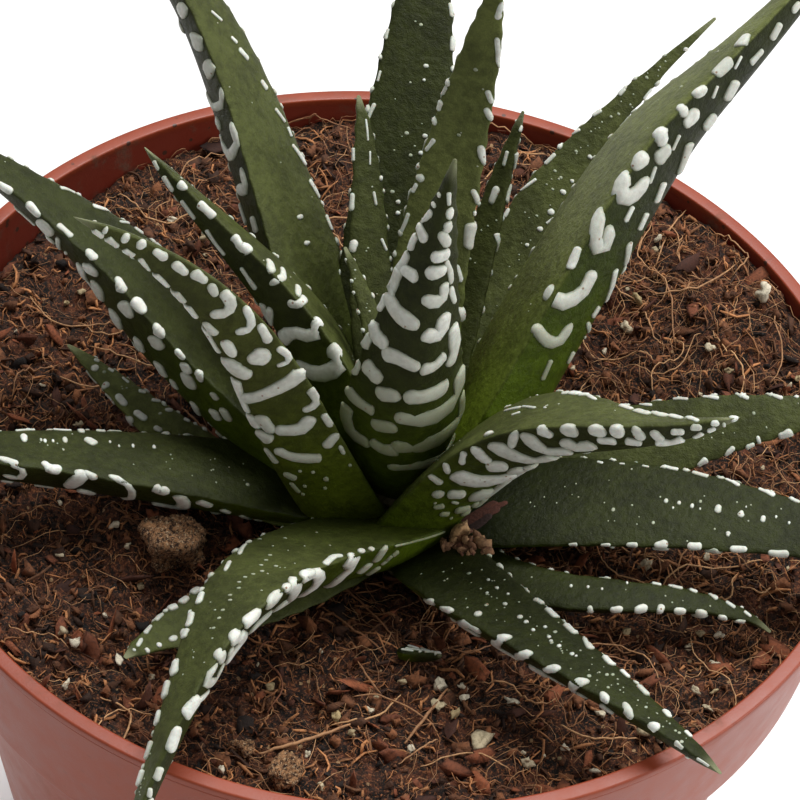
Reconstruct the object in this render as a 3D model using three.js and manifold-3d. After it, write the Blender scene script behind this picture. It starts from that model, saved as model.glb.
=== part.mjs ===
// Potted haworthia: a rosette of thick, white-banded leaves on a short stem, standing in soil in a
// tapered nursery pot. Millimetres, +Z up, origin at the middle of the pot's underside.
import * as THREE from 'three';
import Module from 'manifold-3d';
import { mergeVertices } from 'three/addons/utils/BufferGeometryUtils.js';

const wasm = await Module();
wasm.setup();

const DEGREE = Math.PI / 180;

// Pot
const POT_HEIGHT = 100;
const RIM_RADIUS = 60;
const LIP_WIDTH = 1.9;
const COLLAR_HEIGHT = 20.2;
const COLLAR_FOOT_RADIUS = 57;
const BODY_TOP_RADIUS = 54;
const BASE_RADIUS = 41.5;
const WALL = 1.5;
const FLOOR = 2;
const LIP_ROUND = 0.5;
const POT_SIDES = 44;
const DRAIN_HOLES = 8;
const DRAIN_RADIUS = 4;
const DRAIN_CIRCLE = 31;

// Soil
const SOIL_LEVEL = 93;
const SOIL_RINGS = 13;
const CRUMB_HEIGHT = 0.9;
const SOIL_DIP = 6;
const SOIL_DIP_RADIUS = 17;
const BANK_HEIGHT = 4.5;
const BANK_WIDTH = 15;
const BANK_FACING = (60 * Math.PI) / 180;
const MOUND_HEIGHT = 2;
const MOUND_PLACE = [44, 24];
const MOUND_RADIUS = 12;
const CLUMP_HEIGHT = 3;
const CLUMP_PLACE = [-27, -19];
const CLUMP_RADIUS = 4;

// Stem and rosette, centred on the stem's axis
const AXIS = new THREE.Vector3(3, -8, SOIL_LEVEL);
const STEM_RADIUS = 4.2;
const STEM_TOP = 6.5;
const STEM_BOTTOM = -16;
const STEM_SIDES = 12;

// Leaf skin: rows of raised white tubercles on the underside, with teeth on both margins
const TUBERCLE_HEIGHT = 0.6;
const TOOTH_HEIGHT = 0.5;
const JOINING_RIDGE = 0.35;
const PLAIN_FOOT = 0.1;
const EDGE_HALF_THICKNESS = 0.2;
const UPPER_CROWN = 0.04;
const GAP = 0.3;
const TRIM_ROOM = 0.15;
const SEED = 7;

// Leaf shape: rows of points stand closer towards the tip; the blade is narrower at its foot and full
// after a short run; the keel is flatter than a circle's arc and keeps its depth longer than the width
const ROW_CROWDING = 0.22;
const FOOT_SHARE = 0.78;
const FOOT_RUN = 0.16;
const KEEL_POWER = 1.8;
const DEPTH_POWER = 0.85;
const BAND_FADE = 0.15;

// Leaves, from the inner ones outwards. foot, third, twoThirds and tip are points on the leaf's
// middle line, from the stem's axis at soil level; facing is the compass angle, in degrees, that the
// leaf's back is turned to; width and thick are the blade's at its fullest; a greater taper narrows
// the blade later; turn is the blade's turn about its own line, in degrees, at the foot and at the
// tip; bands is its number of cross rows of tubercles.
const LEAVES = {
  leaf_left_banded: {
    facing: 205, foot: [-4.5, -2.1, 4], third: [-14, -4.5, 24], twoThirds: [-22.5, -8, 42], tip: [-38.5, -12.5, 55.5],
    width: 13.5, thick: 7, taper: 1.7, turn: [18, 33], bands: 14,
  },
  leaf_right_banded: {
    facing: 330, foot: [-1, -4, 3.5], third: [11, -6, 24], twoThirds: [21.5, -13, 34], tip: [36, -16, 39.5],
    width: 15.5, thick: 6.5, taper: 1.8, turn: [1, -30], bands: 15,
  },
  leaf_centre: {
    facing: 268, foot: [-1.5, 3, 6.5], third: [-1, -3.5, 28], twoThirds: [0, -4, 43.5], tip: [1.6, -2.5, 60.8],
    width: 16.5, thick: 6.5, taper: 1.3, turn: [24, 3], bands: 14,
  },
  leaf_left_slim: {
    facing: 155, foot: [-4.5, 2.1, 5], third: [-9, 8, 18.5], twoThirds: [-20, 13.5, 27.5], tip: [-35, 21, 35.5],
    width: 13, thick: 7, taper: 1.6, turn: [42, 36], bands: 11,
  },
  leaf_back_upright: {
    facing: 72, foot: [1.2, 3.8, 6], third: [0.5, 17, 27.5], twoThirds: [3, 26, 47.5], tip: [4, 24.5, 64],
    width: 10, thick: 6, taper: 1.7, turn: [1, 5], bands: 13,
  },
  leaf_right_narrow: {
    facing: 58, foot: [1.6, 2.5, 6], third: [4.5, 15, 17.5], twoThirds: [7, 25, 28], tip: [9.5, 32, 38],
    width: 6, thick: 3.5, taper: 1.7, turn: [-5, -6], bands: 9,
  },
  leaf_young: {
    facing: 135, foot: [-2.1, 2.1, 7], third: [-3, 4.5, 15.5], twoThirds: [-6, 8.5, 23.5], tip: [-10, 14, 29.5],
    width: 5, thick: 3, taper: 1.4, turn: [-13, -8], bands: 7,
  },
  leaf_back_narrow: {
    facing: 103, foot: [-0.7, 2.9, 6], third: [-5.5, 11.5, 19], twoThirds: [-8, 21.5, 30.5], tip: [-10.5, 31, 38.5],
    width: 5.5, thick: 3.5, taper: 2.4, turn: [4, 0], bands: 9,
  },
  leaf_back_left: {
    facing: 122, foot: [-2.1, 3.4, 4], third: [-17.5, 24, 26], twoThirds: [-30.5, 39, 44], tip: [-47, 41.5, 53.5],
    width: 14.5, thick: 7.5, taper: 1.5, turn: [28, 41], bands: 14,
  },
  leaf_back: {
    facing: 88, foot: [0.1, 4, 4], third: [-4, 24.5, 21.5], twoThirds: [-4, 44.5, 37.5], tip: [-6, 62, 47],
    width: 14.5, thick: 6, taper: 1.9, turn: [-2, -6], bands: 14,
  },
  leaf_back_right: {
    facing: 55, foot: [2.3, 3.3, 4], third: [12, 23.5, 12], twoThirds: [13, 34.5, 18.5], tip: [32.7, 54.5, 37],
    width: 14, thick: 5.5, taper: 1.7, turn: [-19, 16], bands: 13,
  },
  leaf_right_long: {
    facing: 42, foot: [3, 2.7, 4], third: [20.5, 28, 33.5], twoThirds: [30.5, 37, 43], tip: [51.5, 56.5, 60.5],
    width: 17, thick: 8.5, taper: 1.8, turn: [-41, -43], bands: 15,
  },
  leaf_left_long: {
    facing: 168, foot: [-3.9, 0.8, 3], third: [-29.5, 12, 18.5], twoThirds: [-40, 15.5, 26], tip: [-67.5, 25, 36],
    width: 18, thick: 8, taper: 1.9, turn: [23, 8], bands: 15,
  },
  leaf_left_low: {
    facing: 186, foot: [-4, -0.4, 2.5], third: [-28, -4.5, 8.5], twoThirds: [-50.5, -8.5, 12], tip: [-68, -14, 12],
    width: 12, thick: 6, taper: 1.9, turn: [0, 30], bands: 13,
  },
  leaf_front_left: {
    facing: 215, foot: [3.5, -2.5, 2], third: [-12.5, -21.5, 14], twoThirds: [-20.5, -39.5, 17], tip: [-27, -62.5, 3],
    width: 14, thick: 5.5, taper: 1.6, turn: [31, 28], bands: 13,
  },
  leaf_right_low: {
    facing: 352, foot: [4, -0.6, 1.5], third: [25.5, -3.5, 9], twoThirds: [45.5, -7, 12], tip: [64, -10.5, 11],
    width: 14, thick: 5.5, taper: 1.9, turn: [1, 15], bands: 12,
  },
  leaf_right: {
    facing: 8, foot: [4, 0.6, 2], third: [22.5, 5, 7], twoThirds: [39, 8, 13], tip: [56.5, 9, 16],
    width: 13.5, thick: 5.5, taper: 1.7, turn: [25, 22], bands: 12,
  },
  leaf_front_right: {
    facing: 312, foot: [4.5, -5.5, 0.5], third: [9, -18.5, 8.5], twoThirds: [23.5, -31.5, 11.5], tip: [38.5, -43.5, 11],
    width: 11, thick: 5, taper: 1.9, turn: [5, -20], bands: 11,
  },
  leaf_left_small: {
    facing: 165, foot: [-3.9, 1, 1.5], third: [-17.5, -1.5, 2.5], twoThirds: [-31, 5, 5.5], tip: [-43, 13, 8.5],
    width: 10, thick: 3.5, taper: 1.8, turn: [2, 1], bands: 9,
  },
  leaf_front_left_small: {
    facing: 215, foot: [-3.3, -2.3, 1], third: [-12.5, -15.5, 3], twoThirds: [-22.5, -24.5, 4], tip: [-29.5, -33, 6.5],
    width: 11.5, thick: 3, taper: 1.7, turn: [-4, -6], bands: 8,
  },
  leaf_front_right_small: {
    facing: 335, foot: [3.6, -1.7, 0], third: [17, -13.5, 4], twoThirds: [32, -15, 6], tip: [45.2, -16, 3.2],
    width: 6.5, thick: 3, taper: 1.8, turn: [-2, 4], bands: 9,
  },
};

// The bleached tip of a dead leaf, lying on the soil in front of the rosette
const DEAD_TIP = {
  facing: 275, foot: [2, -22.4, 0.4], third: [3.5, -23, 0.9], twoThirds: [5, -23.7, 1.6], tip: [6.5, -24.8, 3],
  width: 2.6, thick: 1, taper: 2, turn: [0, 0], bands: 0,
};

// Finishes
const FINISHES = {
  leaf: { color: 0x4b6038, roughness: 0.5 },
  leaf_dry: { color: 0x8a5c3a, roughness: 0.85 },
  stem: { color: 0x7d7a48, roughness: 0.7 },
  soil: { color: 0x3a281c, roughness: 1 },
  pot: { color: 0xa5604c, roughness: 0.55 },
};

// A number between 0 and 1, the same series on each run
function seededRandom(seed) {
  let state = seed;
  return () => {
    state = (state + 0x6d2b79f5) | 0;
    let t = Math.imul(state ^ (state >>> 15), 1 | state);
    t = (t + Math.imul(t ^ (t >>> 7), 61 | t)) ^ t;
    return ((t ^ (t >>> 14)) >>> 0) / 4294967296;
  };
}

// Rises smoothly from 0 at low to 1 at high
function rise(x, low, high) {
  return THREE.MathUtils.smoothstep(x, low, high);
}

// A closed skin over rings of equally many points, with a fan to a point at each end
function skin(rings, first, last) {
  const count = rings[0].length;
  const points = [first, ...rings.flat(), last];
  const end = points.length - 1;
  const index = [];
  for (let k = 0; k < count; k++) {
    const next = (k + 1) % count;
    index.push(0, 1 + next, 1 + k);
    index.push(end, end - count + k, end - count + next);
    for (let row = 0; row < rings.length - 1; row++) {
      const a = 1 + row * count + k;
      const b = 1 + row * count + next;
      index.push(a, b, b + count, a, b + count, a + count);
    }
  }
  const geometry = new THREE.BufferGeometry();
  geometry.setAttribute('position', new THREE.Float32BufferAttribute(points.flatMap((p) => p.toArray()), 3));
  geometry.setIndex(index);
  return geometry;
}

// Solids for joining and cutting, and back
function solid(geometry) {
  const plain = geometry.clone();
  plain.deleteAttribute('normal');
  plain.deleteAttribute('uv');
  const merged = mergeVertices(plain, 1e-4);
  return new wasm.Manifold(new wasm.Mesh({
    numProp: 3,
    vertProperties: new Float32Array(merged.attributes.position.array),
    triVerts: new Uint32Array(merged.index.array),
  }));
}

function geometryOf(body) {
  const mesh = body.getMesh();
  const geometry = new THREE.BufferGeometry();
  geometry.setAttribute('position', new THREE.Float32BufferAttribute(mesh.vertProperties, 3));
  geometry.setIndex(new THREE.Uint32BufferAttribute(mesh.triVerts, 1));
  return geometry;
}

function largest(body) {
  return body.decompose().reduce((best, piece) => (piece.volume() > best.volume() ? piece : best));
}

// The leaf's middle line: a cubic Bezier curve from its foot to its tip, through its two points
function middleLine(leaf) {
  const [foot, third, twoThirds, tip] = [leaf.foot, leaf.third, leaf.twoThirds, leaf.tip]
    .map((p) => new THREE.Vector3(...p));
  const mix = (a, b, c, d) => new THREE.Vector3()
    .addScaledVector(foot, a / 6)
    .addScaledVector(third, b / 6)
    .addScaledVector(twoThirds, c / 6)
    .addScaledVector(tip, d / 6);
  return new THREE.CubicBezierCurve3(foot, mix(-5, 18, -9, 2), mix(2, -9, 18, -5), tip);
}

// Where t is along the line, with the blade's sideways and upward directions there
function bladeFrame(leaf, line, t) {
  const angle = leaf.facing * DEGREE;
  const forward = line.getTangent(t);
  const across = new THREE.Vector3(-Math.sin(angle), Math.cos(angle), 0);
  across.addScaledVector(forward, -across.dot(forward)).normalize();
  const turn = THREE.MathUtils.lerp(leaf.turn[0], leaf.turn[1], t) * DEGREE;
  across.applyAxisAngle(forward, turn);
  const up = new THREE.Vector3().crossVectors(forward, across);
  return { centre: line.getPoint(t), forward, across, up };
}

function halfWidth(leaf, t) {
  const u = Math.min(t / FOOT_RUN, 1);
  const swell = FOOT_SHARE + (1 - FOOT_SHARE) * u * (2 - u);
  return 0.5 * leaf.width * (1 - t ** leaf.taper) * swell + EDGE_HALF_THICKNESS;
}

function keelDepth(leaf, t) {
  return leaf.thick * (1 - t ** leaf.taper) ** DEPTH_POWER + 1.5 * EDGE_HALF_THICKNESS;
}

// Columns round the blade: the right margin, the middle of the upper face, the left margin, and
// back along the keeled underside. c is the place across, from 1 at the right margin to -1.
function columns(leaf) {
  const under = leaf.width > 11 ? 7 : 5;
  const list = [{ c: 1 }, { c: 0, upper: true }, { c: -1 }];
  for (let j = 1; j <= under; j++) {
    list.push({ c: -1 + (2 * j) / (under + 1), step: j });
  }
  return list;
}

// A leaf's skin. Every second row is a band of tubercles: each second column of it is raised in full
// and those between a little, so that the band is one beaded ridge, and the columns change places
// from band to band. clearance grows the whole blade by that much and leaves the bands out.
function leafSkin(leaf, clearance = 0) {
  const line = middleLine(leaf);
  const random = seededRandom(SEED + leaf.facing);
  const cutter = clearance > 0;
  const rows = cutter ? leaf.bands + 6 : Math.max(2 * leaf.bands + 2, 8);
  const rings = [];
  for (let row = 0; row < rows; row++) {
    const x = row / rows;
    const s = x * (1 + ROW_CROWDING - ROW_CROWDING * x);
    const t = line.getUtoTmapping(s);
    const { centre, forward, across, up } = bladeFrame(leaf, line, t);
    const band = (row - 1) / 2;
    const banded = !cutter && leaf.bands > 0 && row % 2 === 1;
    const strength = rise(s, PLAIN_FOOT, PLAIN_FOOT + BAND_FADE) * Math.min(1, (1 - s) / BAND_FADE);
    const fringe = cutter && leaf.bands > 0 ? strength : 0;
    const width = halfWidth(leaf, t) + clearance + TOOTH_HEIGHT * fringe;
    const depth = keelDepth(leaf, t);
    if (row === 0) centre.addScaledVector(forward, -clearance);
    rings.push(columns(leaf).map(({ c, upper, step }) => {
      const point = centre.clone().addScaledVector(across, c * width);
      let height = -depth * (1 - Math.abs(c) ** KEEL_POWER) - clearance - TUBERCLE_HEIGHT * fringe;
      if (upper) height = UPPER_CROWN * depth + clearance;
      if (step === undefined && !upper) height = EDGE_HALF_THICKNESS + clearance;
      point.addScaledVector(up, height);
      if (banded && step !== undefined) {
        const full = (step + band) % 2 === 0 ? 1 : JOINING_RIDGE;
        point.addScaledVector(up, -TUBERCLE_HEIGHT * strength * full * (0.75 + 0.25 * random()));
        point.addScaledVector(across, 0.5 * c * TUBERCLE_HEIGHT * strength * full);
      } else if (banded && !upper) {
        point.addScaledVector(across, c * TOOTH_HEIGHT * strength * (0.7 + 0.3 * random()));
      }
      return point;
    }));
  }
  const foot = bladeFrame(leaf, line, 0);
  const first = foot.centre
    .addScaledVector(foot.up, -0.4 * keelDepth(leaf, 0))
    .addScaledVector(foot.forward, -1.5 * clearance);
  const tip = bladeFrame(leaf, line, 1);
  const last = tip.centre
    .addScaledVector(tip.up, -0.5 * EDGE_HALF_THICKNESS)
    .addScaledVector(tip.forward, 2 * clearance);
  return skin(rings, first, last).translate(...AXIS.toArray());
}

// A round post on the rosette's axis
function axisPost(radius, bottom, top) {
  const post = new THREE.CylinderGeometry(radius, radius, top - bottom, STEM_SIDES);
  post.rotateX(Math.PI / 2);
  return post.translate(AXIS.x, AXIS.y, AXIS.z + 0.5 * (top + bottom));
}

// The leaves, each trimmed clear of the stem and of the leaves inside it
function makeLeaves() {
  const stemRoom = solid(axisPost(STEM_RADIUS + GAP, STEM_BOTTOM, STEM_TOP + GAP));
  const inner = [];
  const made = {};
  for (const [name, leaf] of Object.entries(LEAVES)) {
    let body = solid(leafSkin(leaf)).subtract(stemRoom);
    for (const room of inner) {
      body = body.subtract(room);
    }
    made[name] = geometryOf(largest(body));
    inner.push(solid(leafSkin(leaf, GAP + TRIM_ROOM)));
  }
  return made;
}

// The stem: a stout post with a rounded top, pointed below where it breaks into roots
function makeStem() {
  const profile = [
    [0, STEM_BOTTOM], [0.5 * STEM_RADIUS, STEM_BOTTOM + 4], [STEM_RADIUS, STEM_BOTTOM + 9],
    [STEM_RADIUS, STEM_TOP - 2], [0.6 * STEM_RADIUS, STEM_TOP - 0.4], [0, STEM_TOP],
  ];
  return turned(profile, STEM_SIDES).translate(...AXIS.toArray());
}

// A profile of radius and height pairs, turned about +Z
function turned(profile, sides) {
  const lathe = new THREE.LatheGeometry(profile.map(([r, z]) => new THREE.Vector2(r, z)), sides);
  return lathe.rotateX(Math.PI / 2);
}

// Radius of the pot's inner wall at a height
function innerRadius(z) {
  const collarFoot = POT_HEIGHT - COLLAR_HEIGHT;
  if (z > collarFoot) {
    const u = (z - collarFoot) / COLLAR_HEIGHT;
    return THREE.MathUtils.lerp(COLLAR_FOOT_RADIUS - WALL, RIM_RADIUS - LIP_WIDTH, u);
  }
  return THREE.MathUtils.lerp(BASE_RADIUS, BODY_TOP_RADIUS, z / collarFoot) - WALL;
}

// The pot: a tapered body with a wider collar under the lip, open inside down to its flat floor
function makePot() {
  const collarFoot = POT_HEIGHT - COLLAR_HEIGHT;
  const profile = [
    [0, 0], [BASE_RADIUS - 1, 0], [BASE_RADIUS, 1], [BODY_TOP_RADIUS, collarFoot],
    [COLLAR_FOOT_RADIUS, collarFoot], [RIM_RADIUS, POT_HEIGHT - LIP_ROUND],
    [RIM_RADIUS - LIP_ROUND, POT_HEIGHT], [RIM_RADIUS - LIP_WIDTH + LIP_ROUND, POT_HEIGHT],
    [RIM_RADIUS - LIP_WIDTH, POT_HEIGHT - LIP_ROUND],
    [innerRadius(collarFoot + WALL), collarFoot + WALL],
    [innerRadius(collarFoot - WALL), collarFoot - WALL],
    [innerRadius(FLOOR), FLOOR], [0, FLOOR],
  ];
  let pot = solid(turned(profile, POT_SIDES));
  for (let k = 0; k < DRAIN_HOLES; k++) {
    const angle = (k * 2 * Math.PI) / DRAIN_HOLES;
    const drill = new THREE.CylinderGeometry(DRAIN_RADIUS, DRAIN_RADIUS, 4 * FLOOR, 10);
    drill.rotateX(Math.PI / 2);
    drill.translate(DRAIN_CIRCLE * Math.cos(angle), DRAIN_CIRCLE * Math.sin(angle), 0.5 * FLOOR);
    pot = pot.subtract(solid(drill));
  }
  return geometryOf(pot);
}

// Height of the soil's surface before its crumbs: level, with a dip under the rosette, a bank against
// the wall round the back right with a mound on it and one clump of peat at the front left
function soilHeight(x, y) {
  const bump = (px, py, radius) => Math.exp(-((x - px) ** 2 + (y - py) ** 2) / radius ** 2);
  const fromWall = (innerRadius(SOIL_LEVEL) - Math.hypot(x, y)) / BANK_WIDTH;
  return SOIL_LEVEL
    - SOIL_DIP * bump(AXIS.x, AXIS.y, SOIL_DIP_RADIUS)
    + BANK_HEIGHT * Math.max(0, Math.cos(Math.atan2(y, x) - BANK_FACING)) * Math.exp(-(fromWall ** 2))
    + MOUND_HEIGHT * bump(...MOUND_PLACE, MOUND_RADIUS)
    + CLUMP_HEIGHT * bump(...CLUMP_PLACE, CLUMP_RADIUS);
}

// The soil fills the pot. Its top is a round net of points, each raised or sunk by a seeded crumb.
function makeSoil() {
  const random = seededRandom(SEED);
  const ring = (radius, height) => Array.from({ length: POT_SIDES }, (_, k) => {
    const angle = (2 * Math.PI * k) / POT_SIDES;
    const x = radius * Math.cos(angle);
    const y = radius * Math.sin(angle);
    return new THREE.Vector3(x, y, height(x, y));
  });
  const collarFoot = POT_HEIGHT - COLLAR_HEIGHT;
  const room = 1.5 * GAP;
  const wallHeights = [FLOOR + GAP, collarFoot - WALL, collarFoot + WALL];
  const rings = wallHeights.map((z) => ring(innerRadius(z) - room, () => z));
  const edge = innerRadius(SOIL_LEVEL - 1) - room;
  for (let row = SOIL_RINGS; row > 0; row--) {
    const radius = (edge * row) / SOIL_RINGS;
    const crumbs = Math.min(1, (3 * row) / SOIL_RINGS);
    rings.push(ring(radius, (x, y) => soilHeight(x, y) + CRUMB_HEIGHT * crumbs * (random() - 0.5)));
  }
  const floor = new THREE.Vector3(0, 0, FLOOR + GAP);
  const middle = new THREE.Vector3(0, 0, soilHeight(0, 0));
  const stemHole = solid(axisPost(STEM_RADIUS + GAP, STEM_BOTTOM - GAP, STEM_TOP));
  return geometryOf(solid(skin(rings, floor, middle)).subtract(stemHole));
}

// Assembly
const object = new THREE.Group();

function add(name, geometry, finish) {
  const { color, roughness } = FINISHES[finish];
  const mesh = new THREE.Mesh(geometry, new THREE.MeshStandardMaterial({ color, roughness, metalness: 0 }));
  mesh.name = name;
  object.add(mesh);
}

add('pot', makePot(), 'pot');
add('soil', makeSoil(), 'soil');
add('stem', makeStem(), 'stem');
for (const [name, geometry] of Object.entries(makeLeaves())) {
  add(name, geometry, 'leaf');
}
add('leaf_tip_dead', leafSkin(DEAD_TIP), 'leaf_dry');

export default object;
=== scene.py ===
"""Looks of a potted haworthia: fleshy leaves with raised white tubercles, loose soil and a plastic pot.

Lengths are in millimetres in the formulas and become metres where a mesh is made. Every surface is a
grid of points worked out as whole arrays, and closed at its seams and poles.
"""

import bpy
import numpy as np
from mathutils import Matrix


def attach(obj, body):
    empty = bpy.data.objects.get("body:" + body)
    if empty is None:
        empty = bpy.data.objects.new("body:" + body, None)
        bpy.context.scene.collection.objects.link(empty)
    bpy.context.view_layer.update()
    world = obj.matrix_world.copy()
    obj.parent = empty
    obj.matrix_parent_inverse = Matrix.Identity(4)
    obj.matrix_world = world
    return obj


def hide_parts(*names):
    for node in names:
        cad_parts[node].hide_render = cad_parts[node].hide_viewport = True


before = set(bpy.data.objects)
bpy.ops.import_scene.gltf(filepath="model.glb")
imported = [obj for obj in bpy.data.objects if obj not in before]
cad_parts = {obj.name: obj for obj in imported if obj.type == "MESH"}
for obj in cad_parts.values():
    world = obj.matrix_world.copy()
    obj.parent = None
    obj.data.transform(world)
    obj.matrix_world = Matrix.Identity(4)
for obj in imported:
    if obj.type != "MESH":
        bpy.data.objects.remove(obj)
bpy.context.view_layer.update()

MM = 0.001

# Pot
POT_HEIGHT = 100.0
RIM_RADIUS = 60.0
LIP_WIDTH = 1.9
COLLAR_HEIGHT = 20.2
COLLAR_FOOT_RADIUS = 57.0
BODY_TOP_RADIUS = 54.0
BASE_RADIUS = 41.5
WALL = 1.5
FLOOR = 2.0
DRAIN_HOLES = 8
DRAIN_RADIUS = 4.0
DRAIN_CIRCLE = 31.0
DRAIN_SIDES = 28
# Share of a side that the drills are turned by, so that their corners miss the pot's own edges
DRAIN_TURN = 0.37
POT_SIDES = 180
# How far the moulded wall swings out of round at the rim, twice in a turn
WALL_SWING = 0.12

# Soil: the bank's heading, height and width; the mound's and the clump's place, height and radius; the
# foot's height and the gap to the wall below the top
SOIL_LEVEL = 93.0
SOIL_DIP = 6.0
SOIL_DIP_RADIUS = 17.0
BANK = (np.radians(60), 4.5, 15.0)
MOUND = (44.0, 24.0, 2.0, 12.0)
CLUMP = (-27.0, -19.0, 3.0, 4.0)
SOIL_FOOT = FLOOR + 0.3
SOIL_GAP = 0.3
SOIL_SIDES = 400
SOIL_RINGS = 150
STEM_AXIS = np.array([3.0, -8.0, SOIL_LEVEL])

# Leaf shape
EDGE_ROUND = 0.3
EDGE_HALF_THICKNESS = 0.2
EDGE_POWER = 8
CROWN = 0.04
KEEL_POWER = 1.8
DEPTH_POWER = 0.85
FOOT_SHARE = 0.78
FOOT_RUN = 0.16
LEAF_ROWS = 110
LEAF_COLUMNS = 36
BLADE_END = 0.997

# Teeth: their distance, the shares of the length that they stand between, and how far they stray as a
# share of the distance; then the reach, height and hollow of the margin's swell beside each
TOOTH_GAP = 3.3
TEETH_FROM = 0.12
TEETH_TO = 0.965
TOOTH_STRAY = 0.16
TOOTH_REACH = 0.9
TOOTH_SWELL = 0.22
TOOTH_HOLLOW = 0.06

# Rows of tubercles by rule: where they start and how far they run as shares of the length, the bend of
# a row towards the tip, the room at the margins in millimetres, the share of its room that a mark's line
# leaves free, the chance that two merge and how many may, and the share of places without a mark
ROWS_START = 0.1
ROWS_RUN = 0.86
ROW_BEND = 0.03
ROW_CLEAR = 0.9
ROW_GAP = 0.62
ROW_MERGING = 0.33
MOST_MERGED = 3
EMPTY_PLACES = 0.06

# Raised marks: places worked out along a mark's line, how far a cap reaches in half widths, and the
# rings' places within a cap
MARK_PLACES = 24
CAP = 1.1
CAP_RINGS = np.array([0.97, 0.78, 0.42])
# Angles round a mark's section, in degrees: from skin to skin over its top, and one under the skin
SECTION = np.array([0.0, 28.0, 60.0, 90.0, 120.0, 152.0, 180.0, 270.0])
DOT_SECTION = np.array([0.0, 60.0, 120.0, 180.0, 270.0])
# How far a mark is sunk, and its height: least, gain with its half width, and most
SUNK = 0.12
MARK_HEIGHT = (0.1, 0.3, 0.42)
DOT_HEIGHT = 0.07
# Half length in millimetres that a mark of one place gets for each unit of its half width, which is a
# millimetre, or a pixel of the photograph
SPOT_RUN = {False: 0.2, True: 0.02}
# Unevenness of a mark's half width from ring to ring: its spread, least and most
UNEVEN = (0.06, 0.8, 1.22)
# Length of skin that a pixel's size is measured over, and the fewest pixels to a millimetre that skin
# seen on the slant is taken to show
PROBE = 0.4
LEAST_PIXELS = 3.6
# Skin places among which the nearest to a pixel is found: shares of the length and parts of the way round
SEEN_SHARES = np.linspace(0.02, 0.985, 240)
SEEN_WAYS = np.arange(-1, 1, 0.008)
# Skin is seen edge on where a step along it by the whole length and one by the whole way round span less
# than this in square pixels, and the far larger area that is put in its place
EDGE_ON = 1e3
NO_STEP = 1e9
# Skin whose normal is further than this from the camera, as a cosine, and places more than some pixels
# outside the photograph have their marks by rule
TURNED_AWAY = -0.45
PAST_FRAME = 4

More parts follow.
